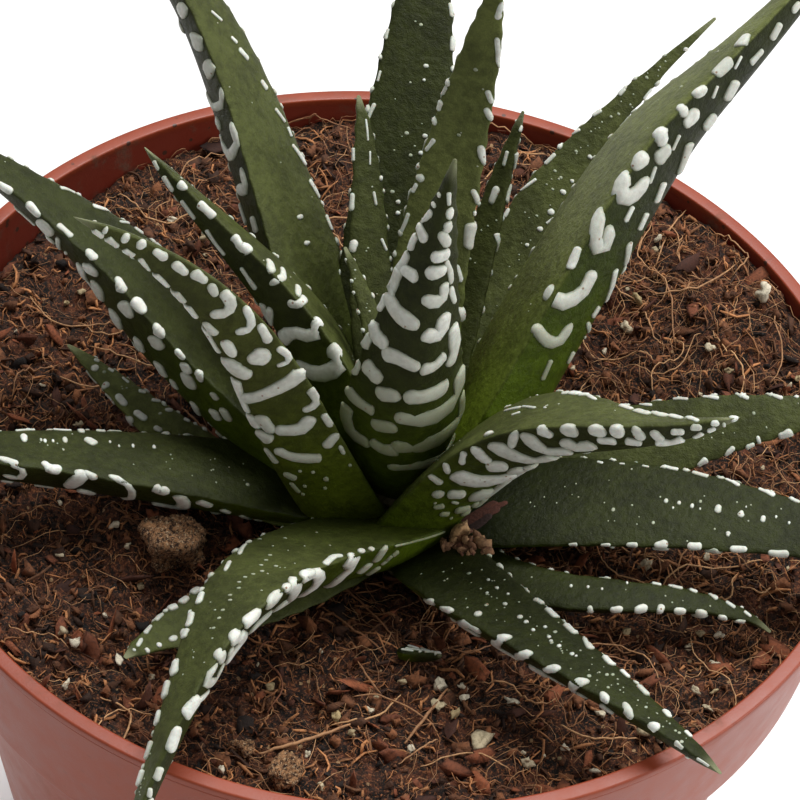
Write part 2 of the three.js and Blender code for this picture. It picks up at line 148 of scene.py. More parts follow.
# Leaves: the compass angle that the back is turned to; the foot, points at a third and two thirds of
# the middle line and the tip, from the stem's axis at soil level; width, thickness, taper, turn at
# foot and tip in degrees, cross rows, and pallor above and below. The pallor is partly each leaf's own
# paleness and partly painted light and shade: higher on leaves that lie in shadow, lower on leaves
# turned away from the light
LEAVES = {
    "leaf_left_banded": (205, (-4.5, -2.1, 4), (-14, -4.5, 24), (-22.5, -8, 42), (-38.5, -12.5, 55.5),
        13.5, 7, 1.7, (18, 33), 14, (0.4, 0.8)),
    "leaf_right_banded": (330, (-1, -4, 3.5), (11, -6, 24), (21.5, -13, 34), (36, -16, 39.5),
        15.5, 6.5, 1.8, (1, -30), 15, (0.5, 0.25)),
    "leaf_centre": (268, (-1.5, 3, 6.5), (-1, -3.5, 28), (0, -4, 43.5), (1.6, -2.5, 60.8),
        16.5, 6.5, 1.3, (24, 3), 14, (0.2, 0.1)),
    "leaf_left_slim": (155, (-4.5, 2.1, 5), (-9, 8, 18.5), (-20, 13.5, 27.5), (-35, 21, 35.5),
        13, 7, 1.6, (42, 36), 11, (0.3, 0.3)),
    "leaf_back_upright": (72, (1.2, 3.8, 6), (0.5, 17, 27.5), (3, 26, 47.5), (4, 24.5, 64),
        10, 6, 1.7, (1, 5), 13, (1.0, 0.2)),
    "leaf_right_narrow": (58, (1.6, 2.5, 6), (4.5, 15, 17.5), (7, 25, 28), (9.5, 32, 38),
        6, 3.5, 1.7, (-5, -6), 9, (0.3, 0.3)),
    "leaf_young": (135, (-2.1, 2.1, 7), (-3, 4.5, 15.5), (-6, 8.5, 23.5), (-10, 14, 29.5),
        5, 3, 1.4, (-13, -8), 7, (0.5, 0.4)),
    "leaf_back_narrow": (103, (-0.7, 2.9, 6), (-5.5, 11.5, 19), (-8, 21.5, 30.5), (-10.5, 31, 38.5),
        5.5, 3.5, 2.4, (4, 0), 9, (0.3, 0.3)),
    "leaf_back_left": (122, (-2.1, 3.4, 4), (-17.5, 24, 26), (-30.5, 39, 44), (-47, 41.5, 53.5),
        14.5, 7.5, 1.5, (28, 41), 14, (0.42, 0.2)),
    "leaf_back": (88, (0.1, 4, 4), (-4, 24.5, 21.5), (-4, 44.5, 37.5), (-6, 62, 47),
        14.5, 6, 1.9, (-2, -6), 14, (0.06, 0.2)),
    "leaf_back_right": (55, (2.3, 3.3, 4), (12, 23.5, 12), (13, 34.5, 18.5), (32.7, 54.5, 37),
        14, 5.5, 1.7, (-19, 16), 13, (0.42, 0.2)),
    "leaf_right_long": (42, (3, 2.7, 4), (20.5, 28, 33.5), (30.5, 37, 43), (51.5, 56.5, 60.5),
        17, 8.5, 1.8, (-41, -43), 15, (1.0, 0.0)),
    "leaf_left_long": (168, (-3.9, 0.8, 3), (-29.5, 12, 18.5), (-40, 15.5, 26), (-67.5, 25, 36),
        18, 8, 1.9, (23, 8), 15, (0.08, 0.2)),
    "leaf_left_low": (186, (-4, -0.4, 2.5), (-28, -4.5, 8.5), (-50.5, -8.5, 12), (-68, -14, 12),
        12, 6, 1.9, (0, 30), 13, (0.12, 0.1)),
    "leaf_front_left": (215, (3.5, -2.5, 2), (-12.5, -21.5, 14), (-20.5, -39.5, 17), (-27, -62.5, 3),
        14, 5.5, 1.6, (31, 28), 13, (0.36, 0.1)),
    "leaf_right_low": (352, (4, -0.6, 1.5), (25.5, -3.5, 9), (45.5, -7, 12), (64, -10.5, 11),
        14, 5.5, 1.9, (1, 15), 12, (0.02, 0.0)),
    "leaf_right": (8, (4, 0.6, 2), (22.5, 5, 7), (39, 8, 13), (56.5, 9, 16),
        13.5, 5.5, 1.7, (25, 22), 12, (0.3, 0.1)),
    "leaf_front_right": (312, (4.5, -5.5, 0.5), (9, -18.5, 8.5), (23.5, -31.5, 11.5), (38.5, -43.5, 11),
        11, 5, 1.9, (5, -20), 11, (0.03, 0.1)),
    "leaf_left_small": (165, (-3.9, 1, 1.5), (-17.5, -1.5, 2.5), (-31, 5, 5.5), (-43, 13, 8.5),
        10, 3.5, 1.8, (2, 1), 9, (1.0, 1.0)),
    "leaf_front_left_small": (215, (-3.3, -2.3, 1), (-12.5, -15.5, 3), (-22.5, -24.5, 4), (-29.5, -33, 6.5),
        11.5, 3, 1.7, (-4, -6), 8, (0.4, 0.2)),
    "leaf_front_right_small": (335, (3.6, -1.7, 0), (17, -13.5, 4), (32, -15, 6), (45.2, -16, 3.2),
        6.5, 3, 1.8, (-2, 4), 9, (0.0, 0.0)),
}
DEAD_TIP = (275, (2, -22.4, 0.4), (3.5, -23, 0.9), (5, -23.7, 1.6), (6.5, -24.8, 3),
    2.6, 1, 2, (0, 0), 0, (0, 0))
# Half widths of the dead tip's marks, and their places as shares of the length and of the way round
DEAD_TIP_MARKS = [
    (0.26, [(0.1, 0.3), (0.3, 0.36)]), (0.22, [(0.14, 0.62), (0.4, 0.56)]),
    (0.2, [(0.36, 0.2), (0.55, 0.28)]), (0.3, [(0.44, 0.44), (0.6, 0.5)]),
    (0.34, [(0.66, 0.72), (0.78, 0.6)]), (0.3, [(0.72, 0.3), (0.84, 0.4)]), (0.36, [(0.9, 0.5)]),
    (0.22, [(0.1, 0.8), (0.3, 0.78)]), (0.2, [(0.5, 0.8)]), (0.24, [(0.6, 0.08)]),
]

# Scale of the tubercles and teeth on the smaller leaves, how many small dots the upper faces have by
# rule, and the share of the length under which a leaf's marks fade into the skin
MARK_SCALE = {"leaf_right_narrow": 0.8, "leaf_young": 0.6, "leaf_back_narrow": 0.7, "leaf_left_small": 0.75,
              "leaf_back_upright": 0.85, "leaf_front_right_small": 0.8}
DOTS = {"leaf_right_low": 34, "leaf_back_right": 60, "leaf_front_right": 80, "leaf_front_left": 26,
        "leaf_back": 20, "leaf_left_low": 30, "leaf_left_small": 14, "leaf_right": 20}
FEW_DOTS = 8
FADES = {"leaf_centre": 0.62}
USUAL_FADE = 0.34

# Tubercles and teeth read off the photograph: half width, then the places that the mark runs
# through, across and down, all in its pixels
SEEN = {
    "leaf_centre": [
        (2.5, 449, 195, 449, 203), (4, 450, 212, 450, 215), (4.5, 448, 226, 448, 228),
        (6, 444, 238, 446, 241), (6.5, 438, 257, 444, 255), (6.5, 432, 273, 441, 271), (2, 439, 195),
        (2.5, 434, 205), (3.2, 430, 214, 424, 218), (4.5, 419, 227, 424, 238), (4, 413, 237, 410, 246),
        (3, 404, 251, 396, 262), (6.5, 400, 265, 412, 275),
        (3.8, 392, 266, 386, 275, 388, 285, 392, 290), (7.5, 390, 300, 398, 313, 412, 323),
        (4.8, 427, 300, 436, 302, 443, 297, 444, 287), (3, 447, 263, 450, 272, 451, 280),
        (2.8, 451, 290, 454, 300), (5, 427, 335, 437, 335, 442, 328, 444, 317),
        (5.5, 373, 326, 376, 335, 384, 343), (2.8, 368, 335, 362, 341), (2, 380, 291, 375, 303),
        (6, 387, 354, 399, 358, 414, 366), (4.8, 425, 369, 434, 366, 442, 358),
        (7.5, 369, 368, 376, 376), (3.2, 358, 364, 354, 370), (7, 383, 394, 393, 395),
        (6, 411, 397, 425, 396, 436, 392, 443, 388), (5, 453, 330, 455, 345, 451, 360),
        (5, 459, 375, 459, 390, 452, 403, 441, 413, 424, 419, 402, 418), (5.5, 377, 425, 391, 427),
        (5, 350, 391, 356, 399, 370, 409),
        (4.8, 462, 397, 461, 412, 453, 427, 440, 438, 424, 445, 400, 447),
        (4.5, 374, 443, 384, 449, 393, 450), (4.5, 347, 408, 348, 425, 357, 437, 366, 442),
        (3.8, 456, 441, 444, 455, 428, 463, 410, 466, 394, 467),
    ],
    "leaf_right_banded": [
        (2.8, 489, 434), (4.8, 514, 437, 512, 443), (4.2, 476, 450, 481, 456, 486, 460),
        (4.6, 495, 445, 506, 452, 521, 458, 537, 460, 551, 457),
        (4.4, 528, 436, 536, 445, 548, 451, 567, 451), (4.4, 541, 430, 549, 434),
        (5.5, 566, 430, 573, 431), (4.2, 565, 442, 578, 447, 591, 445), (5.8, 594, 430, 601, 432),
        (3.2, 600, 440, 613, 441), (5.5, 615, 431, 619, 432), (5.2, 637, 432, 640, 436),
        (3.2, 628, 441, 639, 443), (4, 655, 434, 660, 439), (2.8, 658, 442, 670, 442, 681, 440),
        (3.4, 674, 432, 681, 432), (2.8, 693, 428, 699, 428), (2, 696, 437, 701, 434),
        (2.3, 713, 424, 717, 424), (1.8, 709, 431, 714, 429), (1.8, 724, 425),
        (1.8, 735, 419, 738, 415), (3.8, 463, 456, 462, 461), (3.6, 446, 467, 447, 470),
        (5.2, 458, 475, 470, 480, 485, 481, 500, 479, 512, 475), (4.6, 513, 470, 523, 469, 534, 466),
        (5, 491, 466, 503, 466), (3.2, 432, 477, 439, 482), (4.4, 438, 494), (4.6, 452, 494, 461, 494),
        (4.6, 476, 495, 486, 494), (3.8, 492, 492, 503, 488, 512, 484), (3.4, 518, 485, 527, 478),
        (2.4, 506, 497, 513, 491), (3.8, 483, 507, 489, 503), (3.4, 497, 503, 503, 499),
        (2.4, 475, 504), (3, 458, 510, 467, 508), (2.6, 464, 513, 467, 512), (2.4, 436, 507, 442, 506),
        (2.2, 442, 514, 447, 514), (1.2, 451, 518), (1.1, 435, 503), (1.5, 453, 502, 457, 503),
        (1.8, 532, 493), (1.9, 563, 394, 568, 393), (2, 572, 393, 578, 394), (2, 581, 395, 587, 395),
        (1.9, 589, 396, 594, 399), (2, 622, 406, 630, 409), (2.2, 638, 411, 647, 414),
        (2.2, 656, 413, 664, 416), (2, 672, 416, 680, 418), (1.8, 689, 418, 696, 420),
        (1.3, 506, 411, 519, 408), (1.2, 523, 407, 534, 408), (1, 513, 415, 519, 413), (1, 545, 408),
    ],
    "leaf_left_banded": [
        (1.8, 93, 232, 99, 237), (2.8, 105, 231), (2.4, 108, 240, 115, 246), (4, 125, 239),
        (2.4, 125, 251, 132, 255), (4.3, 141, 245), (2, 141, 260, 148, 269), (4.4, 157, 253, 163, 257),
        (2.3, 154, 275, 163, 286), (5.3, 177, 266, 183, 271), (5.3, 196, 275, 202, 279),
        (2.8, 173, 293, 179, 300), (4.5, 212, 288, 214, 292), (2.8, 185, 308, 193, 314),
        (5.8, 217, 314, 227, 312, 231, 304, 226, 296), (4.8, 242, 331, 250, 328, 251, 320, 247, 311),
        (4, 207, 325, 213, 332), (2.6, 203, 330, 209, 340, 216, 348), (5.8, 262, 329, 267, 338),
        (5.5, 227, 345, 231, 352), (8.5, 256, 358, 262, 356),
        (3.8, 281, 350, 288, 355, 288, 361, 282, 364), (6.2, 227, 362, 235, 369, 245, 374),
        (6.8, 300, 374, 288, 383, 273, 390, 258, 396, 246, 398), (3.2, 236, 382, 240, 395, 246, 408),
        (4.2, 312, 391, 317, 399, 312, 407, 307, 409), (3.8, 251, 417, 255, 424),
        (6, 262, 420, 269, 428), (5.4, 280, 430, 292, 430, 302, 428, 309, 420), (4, 325, 417, 329, 423),
        (4.4, 260, 433, 268, 439), (4.8, 334, 437, 328, 444),
        (4.5, 279, 451, 290, 456, 303, 458, 317, 458), (2.4, 267, 450, 275, 461),
        (2.3, 341, 448, 343, 452), (1.4, 350, 465), (2.6, 286, 474, 294, 478), (1.5, 313, 472),
        (2.2, 326, 479), (1.5, 305, 486), (1.5, 325, 488), (1.4, 300, 471), (1.5, 303, 494),
        (1.9, 292, 484, 298, 491),
    ],
    "leaf_left_slim": [
        (1.5, 154, 162, 158, 169), (2, 164, 178, 172, 190), (3, 182, 183, 185, 187),
        (1.8, 182, 202, 194, 218), (3.4, 202, 204, 213, 214), (1.6, 207, 231, 215, 243, 224, 254),
        (5, 237, 239, 241, 247, 248, 248), (2, 242, 269, 250, 281, 255, 288), (3.4, 270, 263, 271, 268),
        (3.8, 276, 281, 283, 277, 283, 271), (3.7, 298, 289, 298, 292),
        (4.8, 292, 304, 299, 304, 304, 299), (3.5, 270, 312, 270, 322), (2.2, 263, 306, 265, 320),
        (6.8, 284, 338, 292, 332, 303, 335, 312, 336, 318, 331, 319, 324),
        (8.4, 303, 368, 312, 373, 324, 374, 335, 369, 341, 361, 338, 353),
    ],
    "leaf_left_long": [
        (5, 1, 186, 7, 189), (5.4, 31, 206, 36, 213), (4.8, 41, 223, 49, 232), (3, 60, 226, 70, 235),
        (1.8, 21, 212, 27, 220, 34, 227), (2.2, 58, 240, 59, 247), (2.2, 66, 253),
        (3.6, 89, 252, 94, 257), (3.4, 81, 268, 82, 274), (5.4, 89, 269, 92, 270),
        (4.4, 97, 287, 99, 294), (4.8, 119, 281, 122, 288), (5.2, 137, 302, 142, 309),
        (5.6, 124, 306, 129, 313), (4.2, 115, 316, 116, 322), (1.6, 83, 280, 89, 293),
        (6.2, 158, 329, 160, 333), (5.2, 155, 340, 158, 345), (3.8, 138, 342, 140, 347),
        (3.4, 159, 365, 163, 373), (3.2, 178, 352, 182, 357), (4.2, 185, 366, 187, 370),
        (4.8, 187, 377, 190, 384), (3.6, 199, 374, 200, 378), (2.3, 173, 382, 175, 386),
        (2.3, 194, 405, 198, 412), (2.3, 213, 394, 216, 398), (3.4, 214, 412, 217, 417),
        (3.6, 224, 411, 228, 418), (2.6, 213, 432, 216, 437), (1.2, 61, 188, 70, 189, 75, 192),
        (1.4, 94, 206, 106, 209), (1.4, 121, 222, 128, 223), (1.8, 135, 225, 142, 228),
        (1.7, 157, 241, 165, 244), (1.4, 182, 258, 190, 262),
    ],
    "leaf_right_long": [
        (3.2, 794, 10, 798, 5), (3.2, 745, 37, 740, 44), (4.6, 727, 61, 717, 71),
        (5.3, 698, 92, 702, 91), (4.8, 681, 108, 684, 112), (6.2, 694, 115, 688, 121),
        (6.8, 660, 133, 662, 139), (6.8, 665, 151, 660, 157), (8, 640, 158, 638, 163),
        (8.8, 621, 182, 619, 190, 626, 198, 636, 193, 641, 187), (2.3, 632, 208, 626, 220),
        (1.8, 655, 168, 650, 182), (1.4, 679, 136, 673, 149), (1.4, 717, 87, 713, 97),
        (1.2, 741, 57, 735, 68), (8.6, 597, 219, 596, 230, 595, 241, 601, 251, 607, 243, 608, 237),
        (3.4, 577, 250, 570, 266), (7, 549, 293, 560, 302, 573, 299, 584, 290, 590, 278),
        (6.6, 538, 331, 547, 341, 558, 342, 566, 332), (2.4, 550, 362, 543, 378),
        (3.4, 779, 26, 773, 37), (2.8, 761, 52, 752, 62), (4, 735, 84, 728, 97),
        (3.8, 713, 117, 706, 127), (3.6, 689, 146, 680, 170), (3, 663, 185, 657, 200),
        (2.4, 646, 215, 640, 228), (2.4, 629, 245, 626, 262), (2.4, 615, 272, 608, 300),
        (2.1, 598, 308, 593, 316), (2.4, 588, 325, 592, 332), (1.8, 586, 337),
        (1.8, 573, 353, 568, 362),
    ],
    "leaf_front_left": [
        (1, 444, 532, 430, 537, 412, 542, 396, 546), (2.6, 361, 551), (2.2, 371, 549),
        (2.8, 384, 549, 377, 559), (1.9, 397, 552, 393, 555), (1.5, 391, 556, 387, 560),
        (1.4, 386, 561, 382, 564), (2.8, 368, 565, 361, 571), (2.4, 377, 568, 369, 573),
        (2.4, 326, 563, 333, 557, 339, 556), (4, 350, 559, 352, 566, 343, 574, 331, 584),
        (4.4, 308, 574, 316, 572, 319, 580, 312, 588, 303, 594), (6, 310, 574),
        (4, 294, 584, 294, 594, 287, 603, 280, 610), (4, 287, 587), (6.2, 273, 600),
        (3.8, 267, 617, 263, 624, 256, 631), (4.8, 255, 616, 250, 620), (6, 235, 637),
        (4, 240, 637, 246, 643, 240, 651, 229, 660), (6.2, 221, 656),
        (5, 210, 674, 206, 682, 213, 684, 218, 677), (5.2, 196, 702, 188, 713),
        (1.8, 207, 693, 199, 701), (4.8, 177, 731, 172, 748), (4, 160, 771, 158, 777),
        (2.6, 150, 790, 150, 795), (2, 243, 545, 240, 553), (2.3, 229, 563, 226, 569),
        (3, 201, 595, 199, 601), (2.8, 191, 615, 189, 624), (2.6, 186, 631, 184, 636),
        (3.4, 175, 663, 174, 672), (3.6, 166, 685, 164, 696), (2.8, 156, 716, 154, 725),
        (2.8, 147, 744, 145, 756), (3.2, 139, 772, 136, 782),
    ],
    "leaf_front_left_small": [
        (2.8, 212, 579, 207, 582), (2.8, 195, 587, 190, 590), (2.8, 184, 598, 179, 600),
        (2.8, 174, 606, 168, 608), (2.3, 161, 615, 157, 619), (2.3, 150, 627, 146, 632),
        (1.9, 141, 640, 138, 645), (3.2, 174, 638, 172, 639), (2.4, 159, 645), (2.3, 147, 650),
        (1.6, 134, 650),
    ],
    "leaf_left_low": [
        (1.2, 15, 428, 32, 428), (1, 52, 429, 68, 429), (2.4, 80, 431, 82, 431),
        (1.4, 98, 430, 103, 428), (3.8, 24, 438), (1.4, 41, 440), (1.8, 45, 441), (1.4, 53, 441),
        (2.7, 65, 440), (3.3, 88, 440, 93, 443), (1.2, 110, 442), (1.2, 119, 446), (1.7, 133, 446),
        (1.7, 154, 447), (4.2, 6, 460, 16, 464, 24, 472, 19, 478, 12, 477),
        (3.8, 45, 464, 50, 468, 58, 469), (6.5, 80, 477, 72, 484), (3.4, 86, 473, 94, 477),
        (2.8, 82, 490, 87, 496), (4, 118, 479, 127, 484, 132, 491, 131, 498, 125, 502),
        (2.6, 156, 488, 161, 492, 166, 490), (3.4, 180, 497, 184, 503, 178, 508, 168, 509, 155, 506),
        (2.6, 200, 502, 209, 505), (1.8, 223, 510, 228, 512), (1.6, 242, 516, 247, 518),
        (1.2, 255, 521, 260, 524), (1.4, 264, 526), (1.3, 1, 481, 9, 484), (1.2, 33, 485, 52, 490),
    ],
    "leaf_front_right": [
        (2.3, 427, 601, 431, 602), (2.6, 443, 609, 448, 610), (3.3, 478, 614),
        (2.8, 476, 629, 468, 624, 460, 626, 461, 633, 469, 641), (5.6, 499, 639, 496, 645),
        (2.3, 495, 651, 504, 660, 513, 664), (4.8, 519, 656, 523, 655), (4.4, 547, 670, 554, 668),
        (3.8, 533, 671, 541, 679), (1.4, 545, 682, 556, 684),
        (4.2, 580, 682, 573, 686, 572, 692, 578, 697), (4.9, 604, 696, 605, 698),
        (2.8, 602, 705, 611, 711), (4.3, 626, 706, 629, 716), (4.1, 653, 726, 656, 726),
        (2.6, 677, 743, 681, 747), (1.6, 698, 759, 708, 765), (2.3, 541, 597, 544, 603),
        (2.4, 553, 609, 556, 616), (2.8, 568, 626, 574, 632), (2.8, 586, 640, 590, 647),
        (2.4, 609, 658, 612, 664), (2.2, 625, 672, 630, 677), (2.7, 643, 688, 648, 694),
        (2.1, 665, 711, 669, 716), (1.7, 686, 732, 690, 736), (1.8, 505, 604), (2.3, 520, 617),
        (2, 526, 622), (1.6, 533, 630), (1.5, 545, 627), (1.6, 549, 637), (1.5, 551, 641),
        (1.9, 559, 646), (1.9, 572, 654), (1.2, 576, 656), (1.5, 497, 588), (1.3, 487, 593),
        (1.3, 488, 580), (1.2, 508, 594),
    ],
    "leaf_front_right_small": [
        (3.2, 590, 611), (3.8, 614, 610, 619, 609), (4.6, 639, 610, 643, 608),
        (4.2, 661, 608, 660, 611), (3.9, 678, 611, 682, 611), (3.6, 700, 615),
        (2.3, 719, 620, 725, 619), (1.8, 736, 623, 742, 623), (1.5, 653, 575, 660, 579),
        (1.7, 672, 579, 680, 583), (1.7, 690, 586, 697, 590), (1.9, 709, 593, 716, 598),
        (1.5, 727, 602, 734, 607), (1.4, 745, 612, 750, 616), (1.5, 571, 586), (1.4, 588, 587),
        (1.2, 602, 589), (1.2, 627, 583),
    ],
    "leaf_right_low": [
        (1.2, 570, 545, 576, 545), (1.4, 602, 545, 609, 545), (1.2, 614, 548),
        (2.7, 629, 545, 635, 545), (3.8, 658, 545, 664, 544), (2.1, 654, 552, 667, 552),
        (3.7, 691, 546, 698, 546), (2.9, 710, 552, 717, 552), (3.1, 733, 549, 744, 549),
        (3.8, 772, 553, 785, 554), (1, 598, 462, 602, 463), (0.8, 620, 464, 624, 464),
        (1, 643, 466, 648, 467), (1.5, 666, 466, 677, 469), (1.5, 695, 470, 707, 476),
        (1.7, 728, 477, 738, 485), (1.9, 761, 487, 773, 495), (1.5, 795, 499, 799, 500),
        (2.1, 666, 501), (1.8, 679, 503), (1.2, 673, 508), (2.1, 692, 506), (1.2, 700, 509),
        (3.8, 718, 509), (3.1, 741, 514), (3, 763, 519), (2.3, 728, 534), (1.4, 776, 517),
        (1.4, 789, 523), (1, 746, 507),
    ],
    "leaf_right": [
        (1.2, 674, 399, 687, 399), (1.9, 704, 395, 717, 398), (1.9, 737, 393, 747, 398),
        (1.9, 771, 394, 781, 398), (1.2, 640, 404, 651, 405), (2.8, 705, 461, 699, 468),
        (2.9, 732, 449, 727, 458), (2.1, 752, 446, 748, 452), (2.1, 758, 438, 759, 444),
        (3.8, 789, 434, 783, 439),
    ],
    "leaf_back_left": [
        (4.8, 181, 8, 184, 12), (4.8, 196, 37, 198, 46), (6.3, 208, 67, 210, 71),
        (4.4, 222, 98, 222, 104, 214, 107, 210, 100), (4.8, 234, 133, 237, 145, 230, 156, 225, 148),
        (5.2, 244, 179, 246, 188, 240, 190), (1.5, 221, 136, 224, 152), (2.8, 241, 206, 246, 222),
        (2.9, 253, 219, 256, 230), (1.2, 212, 12, 221, 20), (1.5, 232, 38, 236, 42),
        (1.9, 240, 50, 247, 58), (1.9, 262, 82, 266, 88), (1.7, 276, 110, 284, 121),
        (1.2, 288, 128, 291, 136), (1.6, 293, 146, 299, 154, 305, 164), (1.5, 310, 181, 320, 196),
        (1.6, 327, 216, 334, 228), (2.6, 276, 257), (2.7, 300, 217), (2.7, 307, 243),
    ],
    "leaf_back_upright": [
        (1.7, 446, 88, 443, 93), (2.4, 440, 102, 438, 107), (2.4, 433, 141, 427, 149), (3.9, 420, 178),
        (1.9, 416, 185, 413, 191), (2, 408, 215, 402, 230), (3.2, 501, 5, 498, 16),
        (2.7, 497, 40, 498, 52, 499, 65), (2.8, 488, 93, 491, 101), (3.4, 487, 111, 491, 118),
        (4.3, 481, 150, 487, 160), (3.8, 474, 193, 480, 204), (1.5, 481, 211, 482, 216),
        (4.3, 477, 231, 473, 244), (3.3, 457, 268, 460, 279), (7.5, 458, 313, 466, 313),
    ],
    "leaf_right_narrow": [
        (1.8, 521, 127, 520, 130), (2.1, 507, 153, 504, 164), (1.9, 518, 155, 516, 167),
        (3.8, 496, 190, 492, 200), (2.1, 514, 187, 510, 201), (1.5, 497, 235, 499, 250),
    ],
    "leaf_back": [
        (1.4, 388, 30, 386, 38), (1.4, 380, 72, 378, 80), (1.9, 374, 105, 369, 117),
        (2.3, 450, 5, 452, 15), (1.9, 454, 40, 458, 48), (2.3, 426, 66), (1.4, 424, 80),
        (2.3, 425, 136), (2.3, 421, 153), (1.8, 422, 163), (2.1, 398, 202), (2.1, 398, 213),
    ],
    "leaf_back_narrow": [
        (1.4, 352, 150, 353, 160), (2.8, 352, 196, 351, 208), (4.3, 354, 244, 353, 248),
        (1, 366, 120, 368, 140), (1, 370, 152, 370, 164), (1.5, 374, 193, 376, 204),
        (1.7, 382, 240, 386, 249), (1.9, 355, 285, 358, 299),
    ],
    "leaf_back_right": [
        (1.9, 624, 90, 620, 94), (1.9, 600, 111, 594, 115), (1.4, 579, 130, 571, 133),
        (1.8, 554, 155, 546, 163), (1.7, 535, 180, 522, 190), (1.8, 508, 210, 505, 216), (1.8, 660, 88),
        (1.4, 658, 98, 647, 105), (1.4, 631, 123, 625, 127), (1.4, 613, 141, 605, 149),
        (1.2, 598, 169, 582, 181), (2.3, 590, 157), (1.8, 572, 181), (2.8, 563, 192), (3, 551, 212),
        (2.6, 540, 229), (1.8, 527, 245), (1, 547, 223, 552, 219),
    ],
    "leaf_left_small": [
        (3.3, 95, 368), (3.3, 106, 385), (3.4, 119, 397, 124, 403), (3.3, 137, 413, 144, 418),
        (2.7, 130, 421), (2.4, 156, 428, 160, 430), (1.4, 95, 360, 98, 361), (1.2, 109, 369, 113, 371),
        (1.2, 123, 378, 128, 382), (1.7, 140, 391, 144, 392), (1.4, 153, 400, 159, 401),
        (1.9, 167, 410, 171, 410), (1.2, 185, 419, 189, 421), (1, 85, 373, 95, 385),
        (1, 103, 397, 110, 407),
    ],
}

# Colours as a screen shows them: red, green and blue from 0 to 255
COLOURS = {
    # Leaf skin: each colour is mixed towards its pale twin by the leaf's pallor value, which is partly the
    # leaf's own paleness and partly painted light and shade
    "leaf_top": (38, 43, 13),
    "leaf_top_pale": (96, 102, 56),
    # Painted shade: the upper face's very dark foot, deep in the rosette; its pale twin is the leaf's own
    # yellow-green
    "leaf_top_foot": (15, 19, 3),
    "leaf_top_foot_pale": (76, 90, 16),
    "leaf_under": (36, 41, 11),
    "leaf_under_pale": (64, 68, 27),
    "leaf_under_foot": (66, 82, 9),
    "leaf_under_foot_pale": (72, 82, 14),
    "leaf_fleck": (110, 118, 76),
    "leaf_dry_end": (150, 152, 118),
    "tubercle_grey": (202, 204, 192),
    "tubercle_white": (232, 233, 224),
    "tubercle_faded": (112, 122, 66),
    "tubercle_rim": (120, 130, 92),
    "tubercle_speck": (148, 118, 96),
    "tubercle_cloud": (160, 158, 145),
    "plastic": (138, 56, 29),
    "plastic_light": (147, 63, 34),
    # Painted shade of the pot's inner wall and floor
    "plastic_inside_shade": (118, 44, 30),
    "dust": (104, 72, 56),
    "dust_speck": (62, 42, 32),
    "peat_black": (14, 8, 4),
    "peat_brown": (92, 50, 29),
    "peat_tan": (146, 92, 56),
    "peat_fleck": (170, 136, 98),
    "lump_pit": (54, 30, 17),
    "lump_tan": (206, 152, 104),
    "lump_fleck": (236, 202, 160),
    "crumb_dark": (20, 11, 6),
    "crumb_light": (150, 94, 58),
    "perlite_dark": (170, 148, 104),
    "perlite_light": (228, 218, 194),
    "bark_dark": (52, 24, 13),
    "bark_light": (148, 82, 48),
    "splinter_dark": (42, 20, 10),
    "splinter_light": (206, 140, 88),
    "fibre_dark": (124, 72, 42),
    "fibre_light": (212, 164, 114),
    "chip_dark": (92, 52, 34),
    "chip_light": (196, 156, 110),
    "dry_leaf_dark": (40, 17, 10),
    "dry_leaf_light": (86, 42, 26),
    "stem_dark": (92, 84, 48),
    "stem_light": (132, 126, 78),
}

# Ground and surround: half the ground's side in metres, and the surround's strength
GROUND_HALF = 3.0
SURROUND = 0.32

# Camera
IMAGE_SIZE = 800
FOCAL_PIXELS = 3246.0
SENSOR = 36.0
ELEVATION = np.radians(47.01)
ROLL = np.radians(6.3)
DISTANCE = 400.0
TARGET = np.array([1.52, 3.25, 100.0])
CAMERA_BACK = np.array([0, -np.cos(ELEVATION), np.sin(ELEVATION)])
CAMERA_OVER = np.cross(CAMERA_BACK, [1.0, 0, 0])
CAMERA_RIGHT = np.array([np.cos(ROLL), 0, 0]) + np.sin(ROLL) * CAMERA_OVER
CAMERA_UP = np.cos(ROLL) * CAMERA_OVER - np.array([np.sin(ROLL), 0, 0])
CAMERA_PLACE = TARGET + CAMERA_BACK * DISTANCE


def linear(name, share=1.0):
    """A named colour, or a darker share of it, as linear light by the sRGB curve."""
    level = share * np.array(COLOURS[name]) / 255
    return (*np.where(level > 0.04045, ((level + 0.055) / 1.055) ** 2.4, level / 12.92), 1.0)


def smooth(x, low, high):
    """Rises from 0 at low to 1 at high along 3u^2 - 2u^3."""
    u = np.clip((x - low) / (high - low), 0, 1)
    return u * u * (3 - 2 * u)


def picture(points):
    """Pixels of the photograph, across and down, at which points in millimetres are seen."""
    away = points - CAMERA_PLACE
    depth = -(away @ CAMERA_BACK)
    seen = np.stack([away @ CAMERA_RIGHT, -(away @ CAMERA_UP)], -1) / depth[..., None]
    return IMAGE_SIZE / 2 + FOCAL_PIXELS * seen


def waves(points, length, seed, count=14):
    """Smooth noise, mostly from -1 to 1: sine waves of about that length in seeded directions, added
    up and scaled."""
    own = np.random.default_rng(seed)
    turn = own.normal(size=(count, points.shape[-1]))
    turn *= (own.uniform(0.6, 1.6, count) / np.linalg.norm(turn, axis=1))[:, None]
    phase = own.uniform(0, 2 * np.pi, count)
    return np.sin(points @ turn.T * (2 * np.pi / length) + phase).sum(-1) * np.sqrt(2 / count) * 0.6


# Meshes

def grid_index(rows, columns):
    """Corners of the four-sided faces of a grid whose columns wrap round, and of the fans at its two
    poles, which are the points after the grid's own: the first row's pole, then the last row's."""
    row, column = np.meshgrid(np.arange(rows - 1), np.arange(columns), indexing="ij")
    right = (column + 1) % columns
    quads = np.stack([row * columns + column, row * columns + right,
                      (row + 1) * columns + right, (row + 1) * columns + column], -1).reshape(-1, 4)
    k = np.arange(columns)
    after = (k + 1) % columns
    pole = rows * columns
    first = np.stack([np.full(columns, pole), after, k], -1)
    start = (rows - 1) * columns
    last = np.stack([np.full(columns, pole + 1), start + k, start + after], -1)
    return quads, np.concatenate([first, last])


